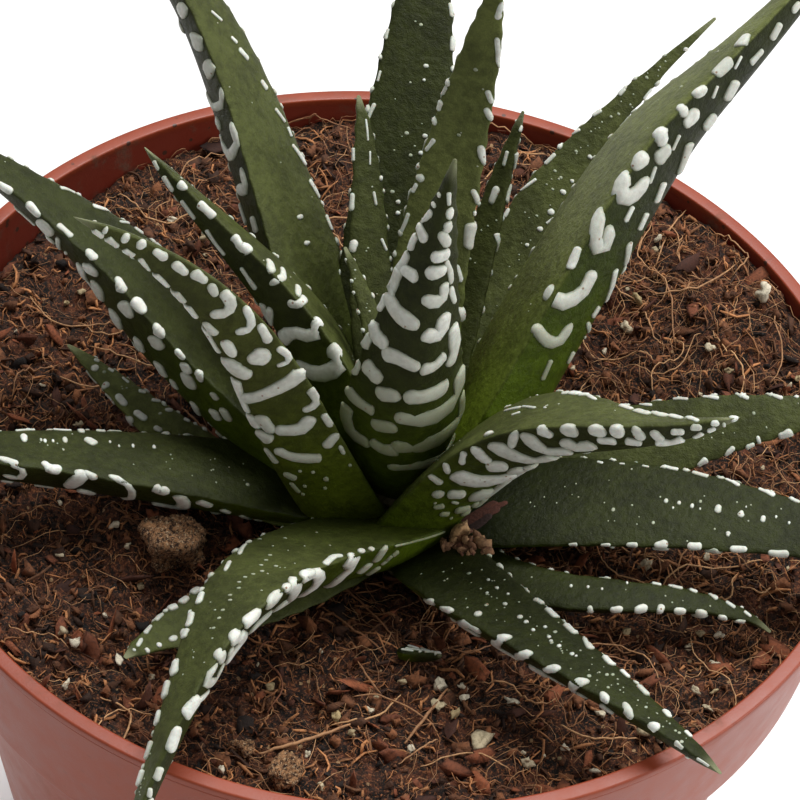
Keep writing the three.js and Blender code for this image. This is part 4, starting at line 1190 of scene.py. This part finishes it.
def tooth_marks(leaf, own):
    """Teeth along both margins, each an oval just under the edge; the places are kept so that the
    blade swells beside them."""
    found, kept = [], []
    scale = leaf["scale"]
    for margin, inward in ((0, -1), (-1, 1)):
        gap = TOOTH_GAP * scale / leaf["length"]
        places = np.arange(TEETH_FROM + gap * own.uniform(), TEETH_TO, gap)
        places = places + own.normal(0, TOOTH_STRAY * gap, len(places))
        kept.append(places)
        for place in places:
            girth = np.interp(place, *leaf["girths"])
            long = own.uniform(0.1, 0.5) * scale / leaf["length"]
            width = own.uniform(0.42, 0.66) * (0.5 + 0.5 * smooth(place, 1.0, 0.75)) * scale
            depth = inward * own.uniform(0.3, 0.55) * scale / girth
            tilt = inward * own.uniform(0, 0.5) / girth
            ends = [(place - long, margin + depth + tilt), (place + long, margin + depth - tilt)]
            found.append((width, ends))
    leaf["teeth"] = tuple(kept)
    return found


def dot_marks(own, count):
    """Small raised dots scattered over the upper face, mostly along its middle, and a few larger ones."""
    share = own.uniform(0.2, 0.9, count)
    place = np.clip(own.normal(0.5, 0.17, count), 0.08, 0.92)
    small = own.uniform(size=count) < 0.85
    size = np.where(small, own.uniform(0.08, 0.16, count), own.uniform(0.2, 0.3, count))
    return [(width, [spot]) for width, *spot in zip(0.8 * size, share, place)]


# Small dots seen on the front left leaf: half width in millimetres; then across and down in pixels
SEEN_DOT = 0.22
FRONT_LEFT_DOTS = [
    (260, 539), (285, 538), (270, 555), (266, 560), (261, 565), (253, 574), (245, 577), (239, 582),
    (239, 588), (230, 595), (230, 600), (276, 566), (262, 571), (223, 610), (219, 618), (213, 628),
]


def make_leaf(name, number, skin, white):
    """One leaf: its skin, then its tubercles and teeth, first those by rule and then the seen ones,
    short and long, then its small dots."""
    own = np.random.default_rng(100 + number)
    leaf = leaf_values(LEAVES[name])
    leaf["scale"] = MARK_SCALE.get(name, 1.0)
    fade = FADES.get(name, USUAL_FADE)
    marks = row_marks(leaf, own)
    teeth = tooth_marks(leaf, own)
    seen = seen_places(leaf, SEEN[name]) if name in SEEN else []
    if seen:
        marks, teeth = hidden(leaf, marks), hidden(leaf, teeth)
    short = [mark for mark in seen if len(mark[1]) < 3]
    bent = [mark for mark in seen if len(mark[1]) > 2]
    parts = [blade_part(leaf)]
    groups = [(marks, 2, False), (teeth, 2, False), (short, 3, True), (bent, 6, True)]
    for k, (group, middle, pixels) in enumerate(groups):
        if not group:
            continue
        raised = ridges(leaf, group, middle, seed=number + 40 * k, pixels=pixels)
        raised["values"]["fade"] = 0.85 * smooth(raised["values"]["along"], fade, 0.4 * fade)
        parts.append(raised)
    dots = dot_marks(own, DOTS.get(name, FEW_DOTS))
    if name == "leaf_front_left":
        dots += seen_places(leaf, [(SEEN_DOT, *spot) for spot in FRONT_LEFT_DOTS])
    small = ridges(leaf, dots, 2, DOT_SECTION, number + 150, height=DOT_HEIGHT)
    small["values"]["fade"] = np.full(len(small["points"]), 0.6)
    parts.append(small)
    return piece(name + "_skin", parts, [skin] + [white] * (len(parts) - 1), (name,))


# Soil

def inner_radius(z):
    """Radius of the pot's inner wall at a height: the collar and the body each slope evenly."""
    foot = POT_HEIGHT - COLLAR_HEIGHT
    collar_foot = COLLAR_FOOT_RADIUS - WALL
    collar = collar_foot + (RIM_RADIUS - LIP_WIDTH - collar_foot) * (z - foot) / COLLAR_HEIGHT
    body = BASE_RADIUS + (BODY_TOP_RADIUS - BASE_RADIUS) * z / foot - WALL
    return np.where(z > foot, collar, body)


def soil_height(x, y):
    """Level, with a dip under the rosette, a bank against the wall round the back right with a mound on
    it and a clump at the front left; each round one is a bell exp(-r^2 / R^2)."""
    def bell(px, py, height, radius):
        """A bell of that height and radius over a place."""
        return height * np.exp(-((x - px) ** 2 + (y - py) ** 2) / radius ** 2)

    heading, height, width = BANK
    from_wall = (inner_radius(SOIL_LEVEL) - np.hypot(x, y)) / width
    bank = height * np.maximum(0, np.cos(np.arctan2(y, x) - heading)) * np.exp(-from_wall ** 2)
    dip = bell(STEM_AXIS[0], STEM_AXIS[1], SOIL_DIP, SOIL_DIP_RADIUS)
    return SOIL_LEVEL - dip + bank + bell(*MOUND) + bell(*CLUMP)


def rough_soil(x, y):
    """The soil's height with lumps of four sizes, two of them with creases between."""
    flat = np.stack([x, y], -1)
    lumps = 0.5 * waves(flat, 9.0, 3) + 0.4 * np.abs(waves(flat, 3.6, 4)) + 0.34 * np.abs(waves(flat, 1.7, 5))
    return soil_height(x, y) + lumps + 0.3 * waves(flat, 1.1, 6) - 0.25


def make_soil(peat):
    """Soil filling the pot: rings from the middle of the top out to the wall, then down to the floor."""
    angle = np.arange(SOIL_SIDES) * 2 * np.pi / SOIL_SIDES
    edge = inner_radius(SOIL_LEVEL)
    edge_height = np.minimum(soil_height(edge * np.cos(angle), edge * np.sin(angle)), POT_HEIGHT - 1)
    radius = np.linspace(0.01, 1, SOIL_RINGS)[:, None] * (inner_radius(edge_height) - 0.05)
    x, y = radius * np.cos(angle), radius * np.sin(angle)
    top = np.stack([x, y, rough_soil(x, y)], -1)
    step = POT_HEIGHT - COLLAR_HEIGHT
    wall_z = np.array([SOIL_LEVEL - 2, step + WALL, step - WALL, POT_HEIGHT * 0.4, SOIL_FOOT])[:, None]
    wall_r = inner_radius(wall_z) - SOIL_GAP
    wall_z = np.broadcast_to(wall_z, (len(wall_z), SOIL_SIDES))
    wall = np.stack([wall_r * np.cos(angle), wall_r * np.sin(angle), wall_z], -1)
    grid = np.concatenate([top, wall])
    middle = np.array([0, 0, rough_soil(np.zeros(1), np.zeros(1))[0]])
    part = closed_grids(grid[None], middle[None], np.array([[0, 0, SOIL_FOOT]]))
    return piece("soil_bed", [part], [peat], ("soil",))


# Pale grains of perlite and lumps of peat seen in the photograph: half width, across and down in pixels
GRAINS = np.array([
    (4, 62, 635), (4, 75, 645), (7, 205, 245), (3, 80, 295), (5, 440, 690), (4, 462, 690),
    (4, 438, 710), (5, 455, 715), (4, 512, 703), (7, 480, 748), (3, 410, 752), (3, 450, 770),
    (5, 527, 765), (3, 593, 777), (4, 600, 715), (7, 645, 735), (4, 660, 743), (4, 688, 650),
    (4, 700, 637), (3, 718, 641), (3, 714, 667), (3, 695, 693), (3, 714, 689), (5, 645, 568),
    (4, 546, 580), (3, 626, 634), (3, 392, 577), (3, 415, 563), (3, 422, 558), (5, 636, 302),
    (5, 624, 330), (4, 708, 353), (4, 729, 370), (3, 572, 373), (9, 762, 300), (4, 60, 555),
    (3, 140, 590), (3, 118, 665), (3, 375, 700), (3, 402, 688), (3, 352, 735), (4, 335, 720),
    (3, 655, 250),
], float)
CHUNKS = np.array([(23.5, 173, 554), (14, 285, 778), (10, 245, 752)], float)
# Straws on the soil: half width, then the places that each runs through
STRAWS = [
    (1.1, 330, 585, 362, 612, 395, 640), (1.1, 320, 610, 352, 636, 385, 660),
    (0.9, 445, 652, 468, 658, 495, 648), (1.2, 180, 410, 198, 430, 215, 440),
    (1.1, 355, 662, 372, 688, 380, 698), (1.0, 352, 700, 380, 703, 420, 720, 437, 737),
    (1.5, 447, 694, 425, 722, 404, 748), (1.8, 352, 726, 300, 748, 258, 757),
    (0.9, 398, 768, 425, 752, 437, 743), (1.1, 627, 223, 640, 241, 639, 250),
    (0.9, 690, 210, 668, 236, 655, 270), (1.0, 745, 260, 700, 290, 650, 305),
    (0.9, 30, 300, 60, 330, 110, 322), (1.0, 60, 380, 95, 395, 120, 372),
    (1.1, 100, 700, 130, 720, 120, 750), (0.9, 420, 770, 470, 758, 510, 772),
    (1.1, 560, 730, 590, 745, 640, 742), (1.0, 740, 590, 760, 600, 775, 585),
    (0.9, 600, 560, 620, 580, 660, 590), (1.0, 400, 700, 372, 724, 330, 730),
]
# Litter on the foot of the front right leaf: the middle and half widths of its patch, and the chip's
# size and place; then the dry skin on the foot of the low right leaf, all in pixels
FOOT_LITTER = (470, 543, 28, 12)
FOOT_CRUMBS = 90
CHIP = (12, 458, 536)
SHEATH = [
    (6, 464, 524, 478, 515, 494, 507), (4, 466, 530, 480, 523, 488, 516), (2.5, 492, 506, 500, 505, 505, 503),
]
# Pixels of the photograph to a millimetre on the soil, by which a seen lump's or straw's size is told,
# and at the chip, which lies nearer
SOIL_PIXELS = 8
CHIP_PIXELS = 9
# How many crumbs, pale grains, bark flakes, splinters, thin fibres and long ones are scattered by rule
CRUMBS = 3200
SPARE_GRAINS = 90
FLAKES = 700
SPLINTERS = 6400
THIN_FIBRES = 1700
LONG_FIBRES = 100
LITTER_RADIUS = 56.5


def soil_places(marks):
    """Places on the soil that are seen at marks' pixels: along each line of sight, the height is found
    again from the soil there."""
    spots = (np.asarray(marks)[:, 1:] - IMAGE_SIZE / 2) / FOCAL_PIXELS
    sight = spots[:, :1] * CAMERA_RIGHT - spots[:, 1:] * CAMERA_UP - CAMERA_BACK
    height = np.full(len(spots), SOIL_LEVEL)
    for _ in range(6):
        points = CAMERA_PLACE + sight * ((height - CAMERA_PLACE[2]) / sight[:, 2])[:, None]
        height = rough_soil(points[:, 0], points[:, 1])
    return points[:, :2]


def peat_lump_material():
    """Tan peat pressed to a lump, with dark pits."""
    made, n, shader, place = material("peat_lump", Roughness=0.95)
    grain = n.noise(place, 0.55, 5.0, 0.75)
    colour = n.mix(n.step(grain, 0.4, 0.6), linear("lump_pit"), linear("lump_tan"))
    fleck = n.step(n.noise(place, 0.3, 2.0), 0.56, 0.66)
    colour = n.mix(fleck, colour, linear("lump_fleck"))
    n.join(colour, shader.inputs["Base Color"])
    bump(n, shader, n.math("ADD", grain, n.math("MULTIPLY", fleck, 0.2)), 1.2, 1.0)
    return made


def scattered(own, count, bias=0.0):
    """Places over the soil, even by area, but thinner by the bias towards the front left."""
    found = np.zeros((0, 2))
    while len(found) < count:
        radius = LITTER_RADIUS * np.sqrt(own.uniform(size=2 * count))
        angle = own.uniform(0, 2 * np.pi, 2 * count)
        spots = np.stack([radius * np.cos(angle), radius * np.sin(angle)], -1)
        weight = 1 - bias * smooth(spots @ np.array([-0.75, -0.65]), -30, 30)
        found = np.concatenate([found, spots[own.uniform(size=len(spots)) < weight]])
    return found[:count]


def mostly_small(own, count, least, gain, power):
    """Sizes of which most are small: least + gain u^power, with u by chance from 0 to 1."""
    return least + gain * own.uniform(0, 1, count) ** power


def lumps(own, places, size, squash, tone, rings, sides, roughness, lift=0.3, stretch=1.0, tilt=0.5,
          base=None):
    """Irregular crumbs: small spheres, each with its own sizes and turn, dented by smooth noise."""
    count = len(places)
    polar = np.linspace(0, np.pi, rings + 2)[1:-1]
    angle = np.arange(sides) * 2 * np.pi / sides
    ball = np.stack([np.sin(polar)[:, None] * np.cos(angle), np.sin(polar)[:, None] * np.sin(angle),
                     np.broadcast_to(np.cos(polar)[:, None], (rings, sides))], -1)
    shape = np.broadcast_to(ball, (count, rings, sides, 3))
    poles = np.broadcast_to(np.array([[0, 0, 1.0], [0, 0, -1.0]]), (count, 2, 3))
    every = np.concatenate([shape.reshape(count, -1, 3), poles], 1)
    seeds = own.uniform(-40, 40, (count, 1, 3))
    dents = np.maximum(1 + roughness * waves(every + seeds, 1.7, 9), 0.3)
    every = every * dents[..., None]
    long, wide = stretch * own.uniform(0.7, 1.3, count), own.uniform(0.7, 1.3, count)
    axes = np.stack([long, wide, np.full(count, squash)], -1)
    every = every * (axes * np.asarray(size)[:, None])[:, None]
    turn = random_turns(own, count, tilt)
    every = np.einsum("kij,kpj->kpi", turn, every)
    if base is None:
        base = rough_soil(places[:, 0], places[:, 1])
    base = base + lift * np.asarray(size)
    every = every + np.concatenate([places, base[:, None]], 1)[:, None]
    grid = every[:, :-2].reshape(count, rings, sides, 3)
    part = closed_grids(grid, every[:, -2], every[:, -1])
    return spread(part, "tone", per_shape=tone)


def random_turns(own, count, tilt):
    """Rotation matrices: a random heading after tilts of about that many radians."""
    a, b = own.normal(0, tilt, count), own.normal(0, tilt, count)
    h = own.uniform(0, 2 * np.pi, count)
    one, zero = np.ones(count), np.zeros(count)
    rx = np.array([[one, zero, zero], [zero, np.cos(a), -np.sin(a)], [zero, np.sin(a), np.cos(a)]])
    ry = np.array([[np.cos(b), zero, np.sin(b)], [zero, one, zero], [-np.sin(b), zero, np.cos(b)]])
    rz = np.array([[np.cos(h), -np.sin(h), zero], [np.sin(h), np.cos(h), zero], [zero, zero, one]])
    return np.einsum("ijk,jlk,lmk->kim", rz, ry, rx)


def tubes(centre, radius, sides, tone):
    """Round sections carried along lines, thinner towards both ends."""
    u = np.linspace(0, 1, centre.shape[1])[None]
    tangent = np.gradient(centre, axis=1)
    tangent /= np.linalg.norm(tangent, axis=-1, keepdims=True) + 1e-9
    side = np.cross(tangent, [0, 0, 1.0])
    side /= np.linalg.norm(side, axis=-1, keepdims=True) + 1e-9
    up = np.cross(side, tangent)
    angle = np.arange(sides) * 2 * np.pi / sides
    thick = np.asarray(radius)[:, None] * (0.35 + 0.65 * np.sin(np.pi * np.clip(u, 0.04, 0.96)) ** 0.5)
    ring = side[:, :, None] * np.cos(angle)[:, None] + up[:, :, None] * np.sin(angle)[:, None]
    grid = centre[:, :, None] + ring * thick[..., None, None]
    part = closed_grids(grid, centre[:, 0], centre[:, -1])
    return spread(part, "tone", per_shape=tone)


def strands_seen(marks):
    """Straws lying on the soil where the photograph shows them: a smooth line through each path's
    places, arched a little and half as uneven as the soil, with a round section carried along it."""
    centre = []
    samples = 14
    for mark in marks:
        pixels = np.array(mark[1:], float).reshape(-1, 2)
        flat = curve_of(soil_places(np.column_stack([np.ones(len(pixels)), pixels])), samples)
        arch = 0.5 + 0.8 * np.sin(np.pi * np.linspace(0, 1, samples))
        centre.append(np.column_stack([flat, rough_soil(flat[:, 0], flat[:, 1]) + arch]))
    centre = np.array(centre)
    centre[..., 2] = 0.5 * centre[..., 2] + 0.5 * centre[..., 2].mean(1, keepdims=True)
    radius = np.array([mark[0] for mark in marks]) / SOIL_PIXELS
    return tubes(centre, radius, 6, np.linspace(0.2, 1, len(marks)))


def fibres(own, places, length, radius, curl, lift, points, sides, slope=0.0):
    """Fibres: a line whose heading swings by a sine of its length, arched above the soil and sloped by
    chance, kept inside the pot, with a round section carried along it."""
    each = (len(places), 1)
    length = np.asarray(length)[:, None]
    u = np.linspace(0, 1, points)[None]
    swing = curl * np.sin(2 * np.pi * own.uniform(0.4, 1.4, each) * u + own.uniform(0, 6.3, each))
    heading = own.uniform(0, 2 * np.pi, each) + swing + own.normal(0, 0.7, each) * u
    step = length / (points - 1)
    x = places[:, :1] + np.cumsum(np.cos(heading) * step, 1)
    y = places[:, 1:] + np.cumsum(np.sin(heading) * step, 1)
    out = np.maximum(1, np.hypot(x, y) / (inner_radius(SOIL_LEVEL + 3) - 0.4))
    x, y = x / out, y / out
    arch = np.asarray(lift)[:, None] * np.sin(np.pi * u) ** 0.8
    wave = 0.15 * np.sin(own.uniform(0, 6.3, each) + 9 * u)
    z = rough_soil(x, y) + 0.12 + arch + wave + own.normal(0, slope, each) * (u - 0.4) * length
    centre = np.stack([x, y, z], -1)
    return tubes(centre, radius, sides, own.uniform(0, 1, len(places)))


def make_litter():
    """Crumbs, bark flakes, pale grains and fibres on the soil."""
    own = np.random.default_rng(5)
    crumb = tone_material("soil_crumb", "crumb", 0.9, 0.5, 0.25)
    grain = tone_material("perlite", "perlite", 0.8, 0.4, 0.15)
    bark = tone_material("bark_flake", "bark", 0.85, 0.4, 0.15)
    litter = tone_material("peat_splinter", "splinter", 0.85, 0.4, 0.05)
    fibre = tone_material("coir_fibre", "fibre", 0.7, 0.5, 0.05)
    size = mostly_small(own, CRUMBS, 0.16, 0.6, 3)
    crumbs = lumps(own, scattered(own, CRUMBS), size, 0.8, own.uniform(0, 1, CRUMBS) ** 1.3, rings=3,
                   sides=6, roughness=0.85, stretch=1.7, tilt=0.9)
    piece("soil_crumbs", [crumbs], [crumb])
    places = np.concatenate([soil_places(GRAINS), scattered(own, SPARE_GRAINS)])
    size = np.concatenate([GRAINS[:, 0] / SOIL_PIXELS, own.uniform(0.15, 0.4, SPARE_GRAINS)])
    grains = lumps(own, places, size, 0.8, own.uniform(0, 1, len(size)), rings=7, sides=11,
                   roughness=0.7, lift=1.3, stretch=1.2)
    piece("perlite_grains", [grains], [grain])
    size = mostly_small(own, FLAKES, 0.25, 0.75, 2.5)
    flakes = lumps(own, scattered(own, FLAKES), size, 0.25, own.uniform(0, 1, FLAKES), rings=3, sides=6,
                   roughness=0.8, lift=0.5, stretch=2.3, tilt=0.7)
    big = lumps(own, soil_places(CHUNKS), CHUNKS[:, 0] / SOIL_PIXELS, 0.9, np.array([0.8, 0.9, 0.7]),
                rings=60, sides=84, roughness=0.45, lift=0.6)
    spots = big["points"]
    fine = waves(spots, 1.4, 21) + 0.8 * waves(spots, 0.7, 22) + 0.5 * waves(spots, 0.35, 23)
    big["points"] = spots + 0.16 * fine[:, None] * np.array([0.7, 0.7, 1.0])
    piece("bark_flakes", [flakes, big], [bark, peat_lump_material()])
    splinters = fibres(own, scattered(own, SPLINTERS, 0.2), mostly_small(own, SPLINTERS, 0.8, 4.2, 2),
                       mostly_small(own, SPLINTERS, 0.05, 0.22, 2), 0.5, own.uniform(0, 0.5, SPLINTERS),
                       points=4, sides=3, slope=0.25)
    piece("peat_splinters", [splinters], [litter])
    thin = fibres(own, scattered(own, THIN_FIBRES, 0.6), own.uniform(2.5, 11, THIN_FIBRES),
                  own.uniform(0.03, 0.065, THIN_FIBRES), 0.7, own.uniform(0, 1.2, THIN_FIBRES),
                  points=8, sides=3, slope=0.1)
    piece("coir_fibres", [thin], [fibre])
    long = fibres(own, scattered(own, LONG_FIBRES, 0.8), own.uniform(9, 22, LONG_FIBRES),
                  own.uniform(0.08, 0.14, LONG_FIBRES), 0.8, own.uniform(0.4, 2.0, LONG_FIBRES),
                  points=20, sides=5)
    piece("coir_strands", [long, strands_seen(STRAWS)], [fibre, fibre])


def make_dead_tip(skin, white):
    """The tip of a dead leaf in front: a dark leaf skin with wrinkled white marks on its top."""
    leaf = leaf_values(DEAD_TIP)
    parts = [blade_part(leaf), ridges(leaf, DEAD_TIP_MARKS, seed=9)]
    piece("dead_tip_skin", parts, [skin, white], ("leaf_tip_dead",))


def make_foot_litter(chip, dry):
    """Crumbs and a chip lying on the foot of the front right leaf, and the dry brown skin of an old leaf
    on the foot of the low right one."""
    own = np.random.default_rng(31)
    turn = own.uniform(0, 2 * np.pi, FOOT_CRUMBS)
    out = own.uniform(0, 1, FOOT_CRUMBS) ** 0.5
    across, down, half_across, half_down = FOOT_LITTER
    spots = np.stack([across + half_across * out * np.cos(turn), down + half_down * out * np.sin(turn)], 1)
    front = leaf_values(LEAVES["leaf_front_right"])
    found = seen_places(front, [(1, *spot) for spot in spots] + [(1, *CHIP[1:])])
    path = np.array([place[0] for _, place in found])
    points = on_skin(front, path[:, 0], path[:, 1])
    size = np.append(mostly_small(own, FOOT_CRUMBS, 0.15, 0.6, 2.5), CHIP[0] / CHIP_PIXELS)
    tone = np.append(own.uniform(0, 0.7, FOOT_CRUMBS), 1.0)
    crumbs = lumps(own, points[:, :2], size, 0.6, tone, rings=5, sides=7, roughness=0.5, stretch=1.5,
                   tilt=0.7, base=points[:, 2])
    low = leaf_values(LEAVES["leaf_right_low"])
    sheath = ridges(low, seen_places(low, SHEATH), 8, seed=4, pixels=True, height=0.12)
    piece("foot_litter", [crumbs, sheath], [chip, dry])


# Pot

def round_profile(corners, steps=5):
    """A profile through corners of radius, height and rounding: each corner but the first and the last
    becomes a quadratic curve between two points at its rounding's distance from it."""
    points = corners[:, :2]
    found = [points[:1]]
    for k in range(1, len(points) - 1):
        here, before, after = points[k], points[k - 1], points[k + 1]
        a = here + (before - here) / np.linalg.norm(before - here) * corners[k, 2]
        b = here + (after - here) / np.linalg.norm(after - here) * corners[k, 2]
        u = np.linspace(0, 1, steps)[:, None]
        found.append((1 - u) ** 2 * a + 2 * u * (1 - u) * here + u * u * b)
    found.append(points[-1:])
    return np.concatenate(found)


def drain_holes(pot):
    """Round holes through the pot's floor, evenly round a circle: upright cylinders are taken out of the
    pot at once, by a modifier that is applied here."""
    spot = (np.arange(DRAIN_HOLES) * 2 * np.pi / DRAIN_HOLES)[:, None, None]
    around = ((np.arange(DRAIN_SIDES) + DRAIN_TURN) * 2 * np.pi / DRAIN_SIDES)[None, None]
    height = np.array([-FLOOR, 1.5 * FLOOR])[None, :, None]
    x, y, z = np.broadcast_arrays(DRAIN_CIRCLE * np.cos(spot) + DRAIN_RADIUS * np.cos(around),
                                  DRAIN_CIRCLE * np.sin(spot) + DRAIN_RADIUS * np.sin(around), height)
    grid = np.stack([x, y, z], -1)
    part = closed_grids(grid, grid[:, 0].mean(1), grid[:, 1].mean(1))
    drills = linked("drain_drills", mesh_of("drain_drills", [part], list(pot.data.materials)))
    cut = pot.modifiers.new("drain_holes", "BOOLEAN")
    cut.operation = "DIFFERENCE"
    cut.solver = "EXACT"
    cut.object = drills
    state = bpy.context.evaluated_depsgraph_get()
    drilled = bpy.data.meshes.new_from_object(pot.evaluated_get(state), depsgraph=state)
    drilled.set_sharp_from_angle(angle=np.radians(50))
    pot.modifiers.clear()
    pot.data = drilled
    bpy.data.objects.remove(drills)


def make_pot():
    """The pot: its profile turned about +Z, with drain holes through its floor."""
    foot = POT_HEIGHT - COLLAR_HEIGHT
    mouth = RIM_RADIUS - LIP_WIDTH
    corners = [
        (0.5, 0.0, 0), (BASE_RADIUS - 1, 0.0, 0.4), (BASE_RADIUS, 1.0, 0.6),
        (BODY_TOP_RADIUS, foot - 0.1, 0.3), (COLLAR_FOOT_RADIUS - 0.1, foot, 0.4),
        (COLLAR_FOOT_RADIUS + 0.25, foot + 0.9, 0.3),
        (RIM_RADIUS - 0.25, POT_HEIGHT - 1.5, 0.15), (RIM_RADIUS - 0.45, POT_HEIGHT - 1.2, 0.1),
        (RIM_RADIUS, POT_HEIGHT - 1.0, 0.15), (RIM_RADIUS, POT_HEIGHT, 0.35), (mouth, POT_HEIGHT, 0.3),
        (mouth, POT_HEIGHT - 1.0, 0.3), (inner_radius(foot + WALL), foot + WALL, 0.4),
        (inner_radius(foot - WALL), foot - WALL, 0.4), (inner_radius(FLOOR), FLOOR, 0.6), (0.5, FLOOR, 0),
    ]
    profile = round_profile(np.array(corners, float))
    angle = np.arange(POT_SIDES) * 2 * np.pi / POT_SIDES
    radius, height = profile[:, :1], profile[:, 1:]
    swing = WALL_SWING * np.sin(2 * angle + 0.6) * height / POT_HEIGHT
    radius = radius + np.where(height > 1, swing, 0)
    everywhere = (len(profile), POT_SIDES)
    grid = np.stack([radius * np.cos(angle), radius * np.sin(angle), np.broadcast_to(height, everywhere)], -1)
    part = closed_grids(grid[None], np.array([[0, 0, 0.0]]), np.array([[0, 0, FLOOR]]))
    peak = int(np.argmax(profile[:, 1]))
    order = np.arange(len(profile))
    # Mask of the painted shade inside the pot: the inner wall from just under the rim's top, and the floor
    inside = smooth(POT_HEIGHT - profile[:, 1], 0.2, 1.2) * (order > peak + 4)
    dust = np.where(order > peak, 0.9, 0.12) * np.ones(len(profile))
    spread(part, "inside", np.broadcast_to(inside[:, None], everywhere), ends=(0.0, 1.0))
    spread(part, "dust", np.broadcast_to(dust[:, None], everywhere), ends=(0.1, 1.0))
    drain_holes(piece("pot_shell", [part], [pot_material()], ("pot",)))


# Setting

def make_camera():
    """The photograph's view: looking down at 47 degrees, rolled a little."""
    lens = bpy.data.cameras.new("camera")
    lens.sensor_width = SENSOR
    lens.lens = FOCAL_PIXELS / IMAGE_SIZE * SENSOR
    lens.clip_start = 0.01
    lens.clip_end = 20
    made = linked("camera", lens)
    turn = np.eye(4)
    turn[:3] = np.stack([CAMERA_RIGHT, CAMERA_UP, CAMERA_BACK, CAMERA_PLACE * MM], -1)
    made.matrix_world = Matrix(turn.tolist())
    bpy.context.scene.camera = made


def area_light(name, place, aim, size, watts):
    """A soft square light at a place in metres, facing a point."""
    lamp = bpy.data.lights.new(name, "AREA")
    lamp.shape = "SQUARE"
    lamp.size = size
    lamp.energy = watts
    made = linked(name, lamp)
    back = np.array(place, float) - np.array(aim, float)
    back /= np.linalg.norm(back)
    right = np.cross([0, 0, 1.0], back)
    right /= np.linalg.norm(right)
    turn = np.eye(4)
    turn[:3, 0], turn[:3, 1], turn[:3, 2], turn[:3, 3] = right, np.cross(back, right), back, place
    made.matrix_world = Matrix(turn.tolist())


def make_setting():
    """A pale floor, an even white surround and soft studio lights."""
    mesh = bpy.data.meshes.new("floor")
    corners = [(x * GROUND_HALF, y * GROUND_HALF, 0) for x, y in ((-1, -1), (1, -1), (1, 1), (-1, 1))]
    mesh.from_pydata(corners, [], [(0, 1, 2, 3)])
    paper, n, shader, place = material("pale_floor", Roughness=0.9)
    cloud = n.step(n.noise(place, 300.0, 2.0), 0.3, 0.7)
    n.join(n.mix(cloud, (0.9, 0.9, 0.9, 1), (0.94, 0.94, 0.94, 1)), shader.inputs["Base Color"])
    mesh.materials.append(paper)
    linked("floor", mesh)
    world = bpy.data.worlds.new("surround")
    world.use_nodes = True
    background = world.node_tree.nodes["Background"].inputs
    background["Color"].default_value = (1, 1, 1, 1)
    background["Strength"].default_value = SURROUND
    bpy.context.scene.world = world
    middle = (0, 0, 0.1)
    area_light("key", (0.15, 0.4, 1.0), middle, 0.6, 12.0)
    area_light("side", (0.85, -0.1, 0.5), middle, 0.5, 4.0)
    bpy.context.scene.view_settings.view_transform = "Standard"


skin_finish = leaf_material()
white_finish = tubercle_material()
make_camera()
make_setting()
for number, leaf_name in enumerate(LEAVES):
    make_leaf(leaf_name, number, skin_finish, white_finish)
make_soil(soil_material())
make_litter()
make_pot()

make_dead_tip(skin_finish, white_finish)
make_foot_litter(tone_material("dry_chip", "chip", 0.85, 0.6, 0.15),
                 tone_material("dry_leaf", "dry_leaf", 0.85, 0.35, 0.2))
stem_finish = tone_material("stem_bark", "stem", 0.7, 1.0, 0.2)
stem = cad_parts["stem"]
stem.data.materials.clear()
stem.data.materials.append(stem_finish)
